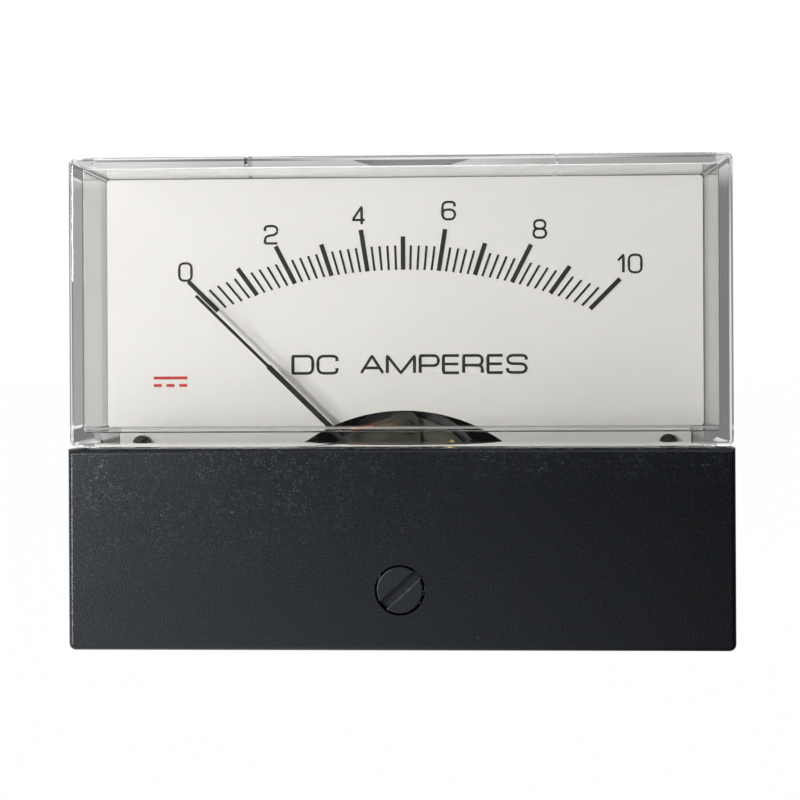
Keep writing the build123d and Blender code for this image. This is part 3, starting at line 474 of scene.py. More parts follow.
@dataclass(frozen=True)
class ClearAcrylic(Finish):
    """Clear polished acrylic that lets lamp light through, with a painted highlight line along the window's
    sill.
    """

    front: float
    tint: Colour = (0.990, 0.990, 0.986)
    haze: Colour = (0.962, 0.964, 0.960)
    depth_tint: Colour = (0.60, 0.61, 0.60)
    density: float = 30.0
    index: float = 1.49
    roughness: float = 0.012
    cloud_size: float = 11 * MM
    wave_size: float = 9 * MM
    wave_height: float = 0.010 * MM
    wipe_stretch: Sequence[float] = (30, 1, 300)
    wipe_size: float = 0.6
    wipe_edge: Edge = (0.62, 0.25)
    # Colours of the painted highlight line along the sill, and of the painted shade at its top
    sill_highlight: Colour = (0.38, 0.38, 0.37)
    sill_painted_shade: Colour = (0.19, 0.19, 0.18)
    sill_roughness: float = 0.4
    sill_strength: float = 0.75
    sill_foot: Edge = (-3.12 * MM, 0.10 * MM)
    sill_painted_shade_edge: Edge = (-2.92 * MM, 0.10 * MM)
    sill_head: Edge = (-2.80 * MM, 0.12 * MM)
    sill_near: Edge = (1.5 * MM, 0.1 * MM)
    sill_far: Edge = (2.0 * MM, 0.1 * MM)

    def shade(self, paint: Paint) -> None:
        """Refracting body with a few wiping marks and a painted highlight line along the sill, clear to
        shadow rays.
        """
        place = paint.place()
        cloud = paint.noise(place, self.cloud_size, 2.0)
        wipe = paint.noise(paint.place(self.wipe_stretch), self.wipe_size, 3.0).above(*self.wipe_edge)
        body = paint.node(
            "ShaderNodeBsdfPrincipled",
            inputs={
                "Base Color": paint.blend(cloud, self.tint, self.haze),
                "Roughness": self.roughness + 0.03 * wipe,
                "IOR": self.index,
                "Transmission Weight": 1.0,
                "Normal": paint.bump(paint.noise(place, self.wave_size, 1.0), self.wave_height),
            },
        )
        level, rise = paint.axes(place, "YZ")
        # Painted highlight: an opaque grey band along the window's sill, darker at its top, standing in for
        # light on the rounded inner edge
        behind = level - self.front
        height = rise.above(*self.sill_foot) * (1 - rise.above(*self.sill_head))
        reach = behind.above(*self.sill_near) * (1 - behind.above(*self.sill_far))
        line = self.sill_strength * height * reach
        tone = paint.blend(rise.above(*self.sill_painted_shade_edge), self.sill_highlight, self.sill_painted_shade)
        inputs = {"Base Color": tone, "Roughness": self.sill_roughness}
        edge = paint.node("ShaderNodeBsdfPrincipled", inputs=inputs)
        window = paint.node("ShaderNodeMixShader", inputs={0: line, 1: body, 2: edge})
        clear = paint.node("ShaderNodeBsdfTransparent", inputs={"Color": self.tint})
        through = paint.ray("Is Shadow Ray", "Is Diffuse Ray")
        paint.finish(paint.node("ShaderNodeMixShader", inputs={0: through, 1: window, 2: clear}))
        depth = {"Color": self.depth_tint, "Density": self.density}
        paint.finish(paint.node("ShaderNodeVolumeAbsorption", inputs=depth), "Volume")


@dataclass(frozen=True)
class SatinPaint(Finish):
    """Satin paint or print with a soft skin and faint mottling."""

    colour: Colour
    shade_colour: Colour
    roughness: float = 0.5
    mottle: float = 1.2 * MM
    relief: float = 0.006 * MM
    gloss: float = 0.35
    cloud_size: float = 16 * MM
    skin_size: float = 0.18 * MM
    tone_edge: Edge = (0.3, 0.4)

    def shade(self, paint: Paint) -> None:
        """Two close tones in soft clouds over an even skin."""
        place = paint.place()
        cloud = paint.noise(place, self.cloud_size, 3.0)
        mottle = paint.noise(place, self.mottle, 2.0)
        skin = paint.noise(place, self.skin_size, 1.0)
        tone = 0.6 * cloud + 0.4 * mottle
        shader = paint.node(
            "ShaderNodeBsdfPrincipled",
            inputs={
                "Base Color": paint.blend(tone.above(*self.tone_edge), self.colour, self.shade_colour),
                "Roughness": self.roughness + 0.1 * mottle,
                "Specular IOR Level": self.gloss,
                "Normal": paint.bump(skin, self.relief),
            },
        )
        paint.finish(shader)


class Working(Enum):
    """How a metal surface was worked, as stretch of its fine marks along X, Y and Z."""

    TURNED = (0.25, 6.0, 0.25)
    ROLLED = (0.15, 1.0, 3.0)
    CAST = (1.0, 1.0, 1.0)


@dataclass(frozen=True)
class WorkedMetal(Finish):
    """Bare or plated metal with working marks and some tarnish, threaded where a pitch is given."""

    colour: Colour
    tarnish: Colour
    roughness: float = 0.3
    working: Working = Working.TURNED
    tarnished: float = 0.5
    thread_pitch: float = 0.0
    metallic: float = 1.0
    mark_size: float = 0.22 * MM
    mark_depth: float = 0.01 * MM
    cloud_size: float = 2.6 * MM
    cloud_edge: Edge = (0.45, 0.3)

    def shade(self, paint: Paint) -> None:
        """Working marks and clouds of tarnish, with thread crests in relief."""
        marks = paint.noise(paint.place(self.working.value), self.mark_size, 2.0)
        cloud = paint.noise(paint.place(), self.cloud_size, 3.0)
        dull = cloud.above(*self.cloud_edge) * self.tarnished
        height = 0.25 * marks
        depth = self.mark_depth
        if self.thread_pitch:
            crest = paint.bands(paint.place(), "Y", self.thread_pitch)
            height = crest + 0.05 * marks
            depth = 0.35 * self.thread_pitch
            dull = dull | (1 - crest) * 0.55
        shader = paint.node(
            "ShaderNodeBsdfPrincipled",
            inputs={
                "Base Color": paint.blend(dull, self.colour, self.tarnish),
                "Metallic": self.metallic,
                "Roughness": self.roughness + 0.18 * marks + 0.15 * dull,
                "Normal": paint.bump(height, depth),
            },
        )
        paint.finish(shader)


@dataclass(frozen=True)
class WoundWire(Finish):
    """Fine enamelled wire laid side by side on the coil's former."""

    lay_angle: float
    colour: Colour = (0.62, 0.27, 0.12)
    groove_shade: Colour = (0.16, 0.05, 0.025)
    pitch: float = 0.12 * MM
    metallic: float = 0.85
    cloud_size: float = 1.5 * MM
    crest_edge: Edge = (0.1, 0.6)

    def shade(self, paint: Paint) -> None:
        """Wire colour on the crests and painted shade in the grooves across the coil's width."""
        across = paint.place(turn=(0.0, self.lay_angle, 0.0))
        # Painted shade: the grooves between turns take a darker copy of the wire colour
        wires = paint.bands(across, "Z", self.pitch)
        cloud = paint.noise(across, self.cloud_size, 2.0)
        shader = paint.node(
            "ShaderNodeBsdfPrincipled",
            inputs={
                "Base Color": paint.blend(wires.above(*self.crest_edge), self.groove_shade, self.colour),
                "Metallic": self.metallic,
                "Roughness": 0.28 + 0.15 * cloud,
                "Coat Weight": 0.4 * cloud,
                "Normal": paint.bump(wires, 0.4 * self.pitch),
            },
        )
        paint.finish(shader)


@dataclass(frozen=True)
class RedStone(Finish):
    """Polished synthetic ruby."""

    colour: Colour = (0.60, 0.03, 0.08)
    depth_colour: Colour = (0.38, 0.01, 0.05)
    cloud_size: float = 0.5 * MM
    index: float = 1.76
    clearness: float = 0.5

    def shade(self, paint: Paint) -> None:
        """Clear red with a faint cloud in the stone."""
        cloud = paint.noise(paint.place(), self.cloud_size, 2.0)
        shader = paint.node(
            "ShaderNodeBsdfPrincipled",
            inputs={
                "Base Color": paint.blend(cloud, self.colour, self.depth_colour),
                "Roughness": 0.06 + 0.06 * cloud,
                "IOR": self.index,
                "Transmission Weight": self.clearness,
            },
        )
        paint.finish(shader)


@dataclass(frozen=True)
class Room:
    """What glass and metal see around the meter.

    It is dim ahead with a pale table and a pale overhead, grey behind and lighter to the left and off the
    level, with a white backdrop straight behind.
    """

    ahead: float = 0.06
    behind: float = 0.26
    left: float = 0.24
    off_level: float = 0.74
    table: float = 1.0
    overhead: float = 0.6
    depth_edge: Edge = (-0.2, 0.6)
    left_edge: Edge = (0.19, 0.07)
    slope_edge: Edge = (-0.45, 0.6)
    table_edge: Edge = (0.09, 0.12)
    table_side: Edge = (-0.4, 0.6)
    overhead_edge: Edge = (0.3, 0.3)
    level_edge: Edge = (0.112, 0.022)
    sunk_edge: Edge = (0.075, 0.05)
    backdrop_edge: Edge = (0.985, 0.012)

    def brightness(self, paint: Paint, heading: Signal) -> Signal:
        """Brightness of the room by direction.

        Args:
            paint: Node tree that takes the nodes.
            heading: Direction from the meter, of length 1.

        Returns:
            The brightness, 1 for white.
        """
        side, depth, rise = paint.axes(heading, "XYZ")
        left, fall = 0 - side, 0 - rise
        back = depth.above(*self.depth_edge)
        lit = self.behind - self.ahead + self.left * left.above(*self.left_edge)
        table = self.table * fall.above(*self.table_edge) * left.above(*self.table_side)
        tilted = rise.above(*self.level_edge) | fall.above(*self.sunk_edge)
        tilted = self.off_level * tilted * left.above(*self.slope_edge)
        overhead = self.overhead * rise.above(*self.overhead_edge)
        room = self.ahead + back * (lit + tilted) + (1 - back) * (table + overhead)
        return room | depth.above(*self.backdrop_edge)


@dataclass(frozen=True)
class PaleFloor(Finish):
    """Plain pale floor that keeps the meter's shadow and turns into the white background farther off."""

    room: Room
    colour: Colour = (0.86, 0.86, 0.86)
    paler: Colour = (0.90, 0.90, 0.90)
    lift_near: float = 0.55
    lift_far: float = 0.992
    near: float = 90 * MM
    fade: float = 110 * MM
    cloud_size: float = 80 * MM

    def shade(self, paint: Paint) -> None:
        """Matte paper, lifted towards white for the camera, and part of the room in mirrors."""
        place = paint.place()
        cloud = paint.noise(place, self.cloud_size, 2.0)
        flat = paint.node("ShaderNodeVectorMath", {"operation": "MULTIPLY"}, {0: place, 1: (1.0, 1.0, 0.0)})
        reach = paint.node("ShaderNodeVectorMath", {"operation": "LENGTH"}, {0: flat}, "Value")
        heading = paint.node("ShaderNodeVectorMath", {"operation": "NORMALIZE"}, {0: place})
        matte = paint.node(
            "ShaderNodeBsdfPrincipled",
            inputs={
                "Base Color": paint.blend(cloud, self.colour, self.paler),
                "Roughness": 0.85 + 0.1 * cloud,
                "Specular IOR Level": 0.1,
            },
        )
        white = paint.node("ShaderNodeEmission", inputs={"Color": (1.0, 1.0, 1.0), "Strength": 1.0})
        around = paint.node("ShaderNodeEmission", inputs={"Strength": self.room.brightness(paint, heading)})
        lift = self.lift_near + (self.lift_far - self.lift_near) * reach.above(self.near, self.fade)
        seen = lift * paint.ray("Is Camera Ray")
        lifted = paint.node("ShaderNodeMixShader", inputs={0: seen, 1: matte, 2: white})
        mirrored = paint.ray("Is Glossy Ray", "Is Transmission Ray")
        paint.finish(paint.node("ShaderNodeMixShader", inputs={0: mirrored, 1: lifted, 2: around}))


BRASS = WorkedMetal("turned_brass", (0.78, 0.56, 0.22), (0.42, 0.27, 0.09), 0.24)
STEEL = WorkedMetal("plated_steel", (0.64, 0.64, 0.65), (0.36, 0.35, 0.34), 0.28)
COPPER = WorkedMetal("bare_copper", (0.80, 0.36, 0.18), (0.36, 0.13, 0.06), 0.26, Working.ROLLED)
LEAD_COPPER = WorkedMetal("lead_copper", (0.42, 0.15, 0.07), (0.20, 0.07, 0.03), 0.34, Working.ROLLED)
BRONZE = WorkedMetal("spring_bronze", (0.72, 0.43, 0.18), (0.40, 0.21, 0.08), 0.25, Working.ROLLED)
NICKEL = WorkedMetal("nickel_silver", (0.72, 0.71, 0.66), (0.45, 0.43, 0.38), 0.25, Working.ROLLED)
ALUMINIUM = WorkedMetal("thin_aluminium", (0.80, 0.80, 0.81), (0.60, 0.60, 0.61), 0.32, Working.ROLLED)
SOFT_IRON = WorkedMetal("soft_iron", (0.075, 0.075, 0.058), (0.04, 0.04, 0.032), 0.48, Working.TURNED)
OLIVE_STEEL = WorkedMetal(
    "olive_steel", (0.042, 0.042, 0.030), (0.024, 0.024, 0.017), 0.5, Working.ROLLED, metallic=0.7
)
TINNED = WorkedMetal(
    "tinned_copper", (0.10, 0.062, 0.040), (0.06, 0.035, 0.022), 0.45, Working.ROLLED, metallic=0.8
)
MAGNET = WorkedMetal("cast_magnet", (0.24, 0.24, 0.25), (0.12, 0.12, 0.12), 0.48, Working.CAST)
CASTING = WorkedMetal(
    "dark_casting", (0.06, 0.06, 0.063), (0.03, 0.03, 0.03), 0.5, Working.CAST, metallic=0.3
)
BLACK_SCREW = WorkedMetal("blackened_screw", (0.02, 0.02, 0.02), (0.008, 0.008, 0.008), 0.4, metallic=0.4)
DIAL_WHITE = SatinPaint("dial_white", (0.82, 0.80, 0.765), (0.795, 0.775, 0.742))
DARK_INK = SatinPaint("dial_ink", (0.020, 0.020, 0.022), (0.028, 0.028, 0.030), 0.65, 0.3 * MM, gloss=0.2)
RED_INK = SatinPaint("red_ink", (0.56, 0.035, 0.028), (0.46, 0.028, 0.024), 0.55, 0.3 * MM)
POINTER_BLACK = SatinPaint(
    "pointer_black", (0.006, 0.006, 0.006), (0.010, 0.010, 0.010), 0.6, 0.4 * MM, gloss=0.2
)


def dress(frame: dict[str, Any], finish: Finish, *nodes: str) -> None:
    """Gives CAD nodes a finish.

    Args:
        frame: The loaded frame.
        finish: Finish whose material they share.
        nodes: Names of the nodes.
    """
    material = finish.make()
    for name in nodes:
        mesh = frame["nodes"][name].data
        mesh.materials.clear()
        mesh.materials.append(material)
        LOG.info("%s: %s", name, finish.name)


def carry(piece: bpy.types.Object, finish: Finish, body: str) -> None:
    """Gives a new piece its finish, body and material slot.

    Args:
        piece: The finished piece, in place.
        finish: Its finish.
        body: Body that it rides on.
    """
    piece.data.materials.clear()
    piece.data.materials.append(finish.make())
    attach(piece, body)
    LOG.info("%s: %s", piece.name, finish.name)


@dataclass(frozen=True)
class Stroke:
    """Centre line of one stroke of a sign, on a unit square, with round corners where asked."""

    corners: tuple[Point, ...]
    rounded: bool = True
    closed: bool = False


BOX = ((0, 0), (1, 0), (1, 1), (0, 1))
SIGNS: dict[str, tuple[Stroke, ...]] = {
    "0": (Stroke(BOX, closed=True),),
    "1": (Stroke(((0.0, 0.68), (1.0, 1.0), (1.0, 0.0)), rounded=False),),
    "2": (Stroke(((0, 0.72), (0, 1), (1, 1), (1, 0.5), (0, 0.42), (0, 0))), Stroke(((0, 0), (1, 0)), False)),
    "4": (Stroke(((0.74, 0), (0.74, 1), (0, 0.24), (1, 0.24)), rounded=False),),
    "6": (
        Stroke(((0, 0.56), (1, 0.56), (1, 0), (0, 0)), closed=True),
        Stroke(((0.97, 0.74), (0.97, 1), (0, 1), (0, 0.3))),
    ),
    "8": (
        Stroke(((0, 0), (1, 0), (1, 0.51), (0, 0.51)), closed=True),
        Stroke(((0.05, 0.51), (0.95, 0.51), (0.95, 1), (0.05, 1)), closed=True),
    ),
    "D": (Stroke(((0.5, 0), (1, 0), (1, 1), (0.5, 1))), Stroke(((0.5, 0), (0, 0), (0, 1), (0.5, 1)), False)),
    "C": (Stroke(((1, 0.7), (1, 1), (0, 1), (0, 0), (1, 0), (1, 0.3))),),
    "A": (Stroke(((0, 0), (0.5, 1), (1, 0)), False), Stroke(((0.17, 0.3), (0.83, 0.3)), False)),
    "M": (Stroke(((0, 0), (0, 1), (0.5, 0), (1, 1), (1, 0)), False),),
    "P": (
        Stroke(((0.5, 1), (1, 1), (1, 0.42), (0.5, 0.42))),
        Stroke(((0.5, 1), (0, 1), (0, 0)), False),
        Stroke(((0.5, 0.42), (0, 0.42)), False),
    ),
    "E": (Stroke(((1, 1), (0, 1), (0, 0), (1, 0)), False), Stroke(((0, 0.51), (0.95, 0.51)), False)),
    "R": (
        Stroke(((0.5, 1), (1, 1), (1, 0.44), (0.5, 0.44))),
        Stroke(((0.5, 1), (0, 1), (0, 0)), False),
        Stroke(((0, 0.44), (0.6, 0.44), (1, 0.4), (1, 0))),
    ),
    "S": (Stroke(((1, 0.74), (1, 1), (0, 1), (0, 0.51), (1, 0.51), (1, 0), (0, 0), (0, 0.26))),),
    "+": (Stroke(((0, 0.5), (1, 0.5)), False), Stroke(((0.5, 0), (0.5, 1)), False)),
    "-": (Stroke(((0, 0.5), (1, 0.5)), False),),
    "bars": (
        Stroke(((0, 1), (1, 1)), False),
        *(Stroke(((start, 0), (start + 0.24, 0)), False) for start in (0, 0.38, 0.76)),
    ),
}


@dataclass
class Lettering:
    """Flat signs drawn with an even pen on a plane that faces the front or the back."""

    name: str
    pen: float
    corner: float
    height: float
    corner_pull: float = 0.62
    signs: list[tuple[str, float, float, float]] = field(default_factory=list)

    def write(self, sign: str, left: float, base: float, width: float) -> None:
        """Adds a sign by its outer left edge, its base line and its outer width."""
        self.signs.append((sign, left, base, width))

    def build(self, surface: float, thickness: float) -> bpy.types.Object:
        """Draws all signs as one flat mesh.

        Args:
            surface: Place along Y of the surface that carries the signs.
            thickness: Rise of the signs along Y, negative towards the front.

        Returns:
            The mesh object, at the origin.
        """
        bpy.ops.object.select_all(action="DESELECT")
        bpy.ops.curve.primitive_bezier_curve_add(location=(0, 0, 0))
        piece = bpy.context.object
        piece.name = self.name
        curve = piece.data
        curve.name = self.name
        curve.splines.clear()
        curve.dimensions = "3D"
        curve.bevel_depth = self.pen / 2
        curve.bevel_resolution = 1
        curve.resolution_u = 6
        curve.use_fill_caps = True
        curve.twist_mode = "Z_UP"
        for sign, left, base, width in self.signs:
            for stroke in SIGNS[sign]:
                self._draw(curve, stroke, left, base, width)
        bpy.ops.object.convert(target="MESH")
        bpy.ops.object.mode_set(mode="EDIT")
        bpy.ops.mesh.select_all(action="SELECT")
        bpy.ops.mesh.remove_doubles(threshold=self.pen / 200)
        bpy.ops.mesh.normals_make_consistent(inside=False)
        bpy.ops.transform.resize(value=(1, abs(thickness) / self.pen, 1), center_override=(0, 0, 0))
        bpy.ops.transform.translate(value=(0, surface + thickness / 2, 0))
        bpy.ops.object.mode_set(mode="OBJECT")
        bpy.ops.object.shade_flat()
        return piece

    def _draw(self, curve: bpy.types.Curve, stroke: Stroke, left: float, base: float, width: float) -> None:
        """Adds one stroke as a spline whose corners are arcs or sharp points.

        Args:
            curve: Curve that takes the spline.
            stroke: Stroke on the unit square.
            left: Outer left edge of the sign.
            base: Base line of the sign.
            width: Outer width of the sign.
        """
        span_x = width - self.pen
        span_z = self.height - self.pen
        corners = [
            (left + self.pen / 2 + x * span_x, base + self.pen / 2 + z * span_z) for x, z in stroke.corners
        ]
        knots: list[tuple[Point, Point, Point]] = []
        last = len(corners) - 1
        for k, corner in enumerate(corners):
            ends_here = not stroke.closed and k in (0, last)
            if ends_here or not stroke.rounded:
                knots.append((corner, corner, corner))
                continue
            before, after = corners[k - 1], corners[(k + 1) % len(corners)]
            start = self._towards(corner, before)
            stop = self._towards(corner, after)
            bend_in = tuple(s + self.corner_pull * (c - s) for s, c in zip(start, corner))
            bend_out = tuple(s + self.corner_pull * (c - s) for s, c in zip(stop, corner))
            knots.append((start, start, bend_in))
            knots.append((bend_out, stop, stop))
        spline = curve.splines.new("BEZIER")
        spline.bezier_points.add(len(knots) - 1)
        spline.use_cyclic_u = stroke.closed
        for knot, (handle_in, middle, handle_out) in zip(spline.bezier_points, knots):
            knot.handle_left_type = knot.handle_right_type = "FREE"
            knot.co = (middle[0], 0, middle[1])
            knot.handle_left = (handle_in[0], 0, handle_in[1])
            knot.handle_right = (handle_out[0], 0, handle_out[1])

    def _towards(self, corner: Point, other: Point) -> Point:
        """Point on the way from a corner to the next one, where the corner's arc begins."""
        run = math.dist(corner, other)
        share = min(self.corner / run, 0.5)
        return (corner[0] + share * (other[0] - corner[0]), corner[1] + share * (other[1] - corner[1]))


@dataclass
class Dial:
    """White dial plate with its print and screws."""

    numeral_height: float = 2.48 * MM
    numeral_width: float = 1.86 * MM
    one_width: float = 0.98 * MM
    numeral_pen: float = 0.335 * MM
    numeral_corner: float = 0.62 * MM
    legend_height: float = 2.52 * MM
    legend_pen: float = 0.40 * MM
    legend_corner: float = 0.75 * MM
    legend_base: float = 3.03 * MM
    sign_width: float = 4.6 * MM
    sign_height: float = 1.35 * MM
    sign_pen: float = 0.42 * MM
    sign_corner: float = 0.1 * MM
    sign_left: float = -31.2 * MM
    sign_base: float = 1.6 * MM
    ink: float = 0.04 * MM
    numerals: tuple[tuple[str, float, float], ...] = (
        ("0", -26.98 * MM, 15.84 * MM),
        ("2", -16.30 * MM, 20.38 * MM),
        ("4", -5.45 * MM, 22.68 * MM),
        ("6", 5.65 * MM, 23.18 * MM),
        ("8", 16.82 * MM, 20.84 * MM),
        ("1", 26.70 * MM, 16.52 * MM),
        ("0", 28.46 * MM, 16.52 * MM),
    )
    legend: tuple[tuple[str, float, float], ...] = (
        ("D", -13.88 * MM, 2.86 * MM),
        ("C", -10.78 * MM, 2.76 * MM),
        ("A", -5.43 * MM, 3.09 * MM),
        ("M", -2.20 * MM, 3.75 * MM),
        ("P", 1.85 * MM, 2.64 * MM),
        ("E", 4.71 * MM, 2.32 * MM),
        ("R", 7.20 * MM, 2.68 * MM),
        ("E", 10.18 * MM, 2.22 * MM),
        ("S", 12.60 * MM, 2.68 * MM),
    )

    def build(self) -> None:
        """Prints numerals, legend and the direct current sign."""
        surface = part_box("dial_plate")[0].y
        numerals = Lettering("scale_numerals", self.numeral_pen, self.numeral_corner, self.numeral_height)
        for sign, middle, level in self.numerals:
            width = self.one_width if sign == "1" else self.numeral_width
            numerals.write(sign, middle - width / 2, level - self.numeral_height / 2, width)
        carry(numerals.build(surface, -self.ink), DARK_INK, "housing")
        legend = Lettering("unit_legend", self.legend_pen, self.legend_corner, self.legend_height)
        for sign, left, width in self.legend:
            legend.write(sign, left, self.legend_base, width)
        carry(legend.build(surface, -self.ink), DARK_INK, "housing")
        bars = Lettering("direct_current_sign", self.sign_pen, self.sign_corner, self.sign_height)
        bars.write("bars", self.sign_left, self.sign_base, self.sign_width)
        carry(bars.build(surface, -self.ink), RED_INK, "housing")

    def dress(self, frame: dict[str, Any]) -> None:
        """Finishes the plate, the scale and the dial screws."""
        dress(frame, DIAL_WHITE, "dial_plate")
        dress(frame, DARK_INK, "scale_marks")
        dress(frame, BLACK_SCREW, "dial_screws")


@dataclass
class Front:
    """Clear cover, lower mask and zero screw."""

    screw_roughness: float = 0.36
    screw_relief: float = 0.01 * MM
    screw_dust: float = 0.2

    def dress(self, frame: dict[str, Any]) -> None:
        """Finishes the cover, the mask and the screw."""
        dress(frame, ClearAcrylic("clear_acrylic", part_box("front_cover")[0].y), "front_cover")
        dress(frame, GrainedPlastic("grained_black"), "lower_mask")
        low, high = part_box("zero_screw")
        middle = ((low.x + high.x) / 2, (low.z + high.z) / 2)
        black = SlotHighlightPlastic(
            "screw_black",
            roughness=self.screw_roughness,
            relief=self.screw_relief,
            dust=self.screw_dust,
            middle=middle,
        )
        dress(frame, black, "zero_screw")


@dataclass
class Movement:
    """Moving coil, magnet system, bridge and springs."""

    rest_angle: float = math.radians(45.6)

    def dress(self, frame: dict[str, Any]) -> None:
        """Finishes every piece of the movement."""
        dress(frame, POINTER_BLACK, "pointer")
        dress(frame, CASTING, "movement_frame")
        dress(frame, SOFT_IRON, "yoke_ring")
        dress(frame, MAGNET, "core_magnet")
        dress(frame, OLIVE_STEEL, "front_core_strip", "rear_core_strip")
        dress(frame, NICKEL, "front_bridge", "zero_lever")
        dress(frame, TINNED, "solder_lug")
        dress(frame, BLACK_SCREW, "core_screws")
        dress(frame, BRASS, "front_jewel_screw", "rear_jewel_screw", "lock_nuts")
        dress(frame, BRASS, "rear_spring_tag", "balance_weights")
        dress(frame, STEEL, "frame_screws", "bridge_screws", "front_staff", "rear_staff")
        dress(frame, BRONZE, "front_hairspring", "rear_hairspring")
        dress(frame, ALUMINIUM, "coil_former")
        dress(frame, WoundWire("coil_wire", self.rest_angle), "coil_winding")
        dress(frame, COPPER, "shunt_strip")
        dress(frame, LEAD_COPPER, "leads")
        dress(frame, RedStone("ruby"), "pivot_jewels")


@dataclass
class Back:
    """Moulded base with its fixings, terminals and polarity marks."""

    mark_size: float = 3.4 * MM
    mark_pen: float = 0.8 * MM
    mark_rise: float = 0.3 * MM
    mark_gap: float = 2.6 * MM
    mark_corner: float = 0.1 * MM
    terminal_boss: float = 0.8 * MM
    stud_pitch: float = 0.5 * MM
    terminal_pitch: float = 0.7 * MM

    def build(self) -> None:
        """Moulds a plus and a minus above the terminals."""
        low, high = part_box("terminal_washers")
        floor = low.y - self.terminal_boss
        for sign, name, edge in (("+", "plus_mark", high.x), ("-", "minus_mark", low.x)):
            middle = edge - math.copysign((high.z - low.z) / 2, edge)
            mark = Lettering(name, self.mark_pen, self.mark_corner, self.mark_size)
            mark.write(sign, middle - self.mark_size / 2, high.z + self.mark_gap, self.mark_size)
            piece = mark.build(floor, self.mark_rise)
            carry(piece, MouldedPlastic("mark_black"), "housing")

    def dress(self, frame: dict[str, Any]) -> None:
        """Finishes the base, the fixings and the terminals."""
        threaded_steel = WorkedMetal(
            "threaded_steel", STEEL.colour, STEEL.tarnish, STEEL.roughness, thread_pitch=self.stud_pitch
        )
        threaded_brass = WorkedMetal(
            "threaded_brass", BRASS.colour, BRASS.tarnish, BRASS.roughness, thread_pitch=self.terminal_pitch
        )
        dress(frame, MouldedPlastic("moulded_black"), "base")
        dress(frame, threaded_steel, "fixing_studs")
        dress(frame, threaded_brass, "terminal_studs")
        dress(frame, BRASS, "terminal_nuts")
        dress(frame, STEEL, "terminal_washers", "cover_screws")


@dataclass
class Lamp:
    """Soft rectangular lamp that points at the meter."""

    name: str
    place: tuple[float, float, float]
    width: float
    height: float
    power: float

    def hang(self, target: tuple[float, float, float]) -> None:
        """Adds the lamp and turns it to a target.

        Args:
            target: Point that the lamp looks at.
        """
        bpy.ops.object.light_add(type="AREA", location=self.place)
        lamp = bpy.context.object
        lamp.name = self.name
        lamp.data.shape = "RECTANGLE"
        lamp.data.size = self.width
        lamp.data.size_y = self.height
        lamp.data.energy = self.power
        aim = [t - p for t, p in zip(target, self.place)]
        flat = math.hypot(aim[0], aim[1])
        lamp.rotation_euler = (math.atan2(flat, -aim[2]), 0, math.atan2(-aim[0], aim[1]))


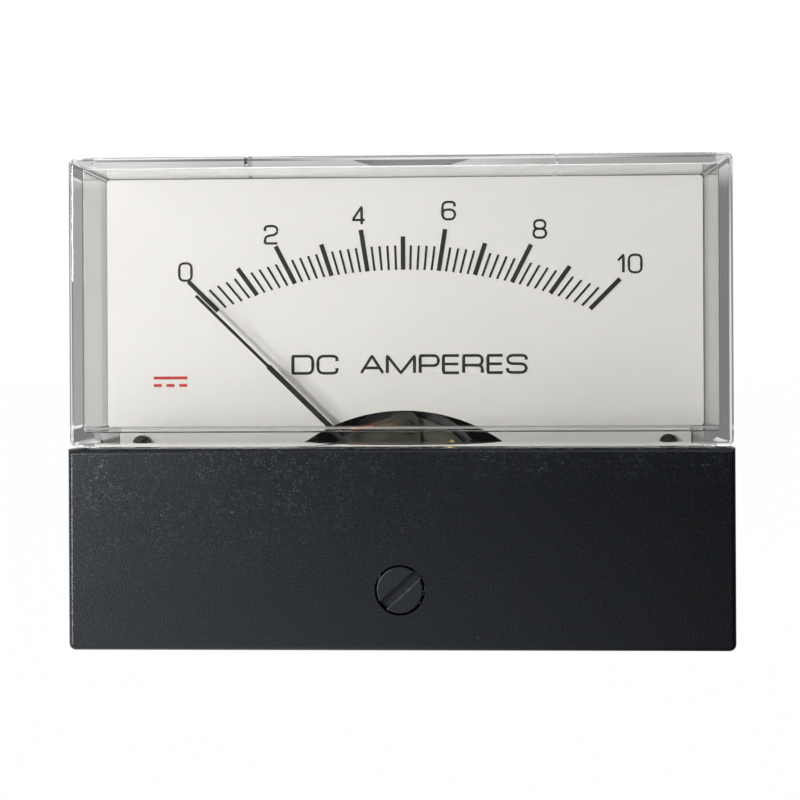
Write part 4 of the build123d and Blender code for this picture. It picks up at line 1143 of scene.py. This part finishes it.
@dataclass
class Studio:
    """Floor, white surround, soft lamps and the camera at the photograph's viewpoint."""

    floor_drop: float = 90 * MM
    floor_size: float = 12.0
    surround: float = 0.20
    room: Room = Room()
    camera_gap: float = 160 * MM
    camera_side: float = 8.0 * MM
    camera_rise: float = 6.0 * MM
    camera_yaw: float = math.radians(1.93)
    camera_roll: float = math.radians(0.28)
    camera_clip: float = 10 * MM
    focal_pixels: float = 1396.0
    image_shift: Point = (21.4, -49.6)
    lamps: tuple[Lamp, ...] = (
        Lamp("key_lamp", (-0.20, -0.30, 0.065), 0.07, 0.07, 0.85),
        Lamp("low_lamp", (-0.25, -0.30, -0.06), 0.10, 0.08, 0.42),
        Lamp("fill_lamp", (0.20, -0.70, 0.45), 0.5, 0.5, 0.15),
        Lamp("back_lamp", (0.10, 0.55, 0.55), 0.6, 0.4, 1.5),
    )

    def build(self) -> None:
        """Sets up the world, the floor, the lamps and the camera."""
        self._surround()
        self._floor()
        for lamp in self.lamps:
            lamp.hang((0.0, 0.0, 0.0))
        self._camera()
        bpy.context.scene.view_settings.view_transform = "Standard"

    def _surround(self) -> None:
        """White world to the eye and straight behind the meter, dimmer as a light and in the room around."""
        world = bpy.data.worlds.new("white_surround")
        bpy.context.scene.world = world
        world.use_nodes = True
        paint = Paint(world.node_tree, "ShaderNodeOutputWorld")
        heading = paint.node("ShaderNodeTexCoord", output="Generated")
        mirrored = paint.ray("Is Glossy Ray", "Is Transmission Ray")
        light = self.surround * (1 - mirrored) + mirrored * self.room.brightness(paint, heading)
        strength = light | paint.ray("Is Camera Ray")
        inputs = {"Color": (1.0, 1.0, 1.0), "Strength": strength}
        paint.finish(paint.node("ShaderNodeBackground", inputs=inputs))

    def _floor(self) -> None:
        """Wide pale floor below the meter."""
        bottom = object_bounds()[0][2]
        bpy.ops.mesh.primitive_plane_add(size=self.floor_size, location=(0, 0, 0))
        floor = bpy.context.object
        floor.name = "floor"
        bpy.ops.object.mode_set(mode="EDIT")
        bpy.ops.transform.translate(value=(0, 0, bottom - self.floor_drop))
        bpy.ops.object.mode_set(mode="OBJECT")
        floor.data.materials.append(PaleFloor("pale_floor", self.room).make())
        floor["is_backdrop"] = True

    def _camera(self) -> None:
        """Camera at the photograph's viewpoint, framed by its shift."""
        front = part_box("front_cover")[0].y
        place = (self.camera_side, front - self.camera_gap, self.camera_rise)
        level = Euler((math.pi / 2, 0, self.camera_yaw)).to_matrix()
        turned = level @ Matrix.Rotation(-self.camera_roll, 3, "Z")
        bpy.ops.object.camera_add(location=place, rotation=turned.to_euler())
        camera = bpy.context.object
        camera.name = "camera"
        camera.data.sensor_fit = "HORIZONTAL"
        camera.data.lens = self.focal_pixels / IMAGE_SIZE * camera.data.sensor_width
        camera.data.clip_start = self.camera_clip
        camera.data.shift_x = -self.image_shift[0] / IMAGE_SIZE
        camera.data.shift_y = self.image_shift[1] / IMAGE_SIZE
        bpy.context.scene.camera = camera


def main() -> None:
    """Builds the meter's print and marks, dresses every node and sets up the studio."""
    logging.basicConfig(level=logging.INFO, format="%(name)s %(message)s")
    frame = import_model()
    bpy.ops.object.select_all(action="DESELECT")
    dial = Dial()
    dial.build()
    dial.dress(frame)
    Front().dress(frame)
    Movement().dress(frame)
    back = Back()
    back.build()
    back.dress(frame)
    Studio().build()


if __name__ == "__main__":
    main()
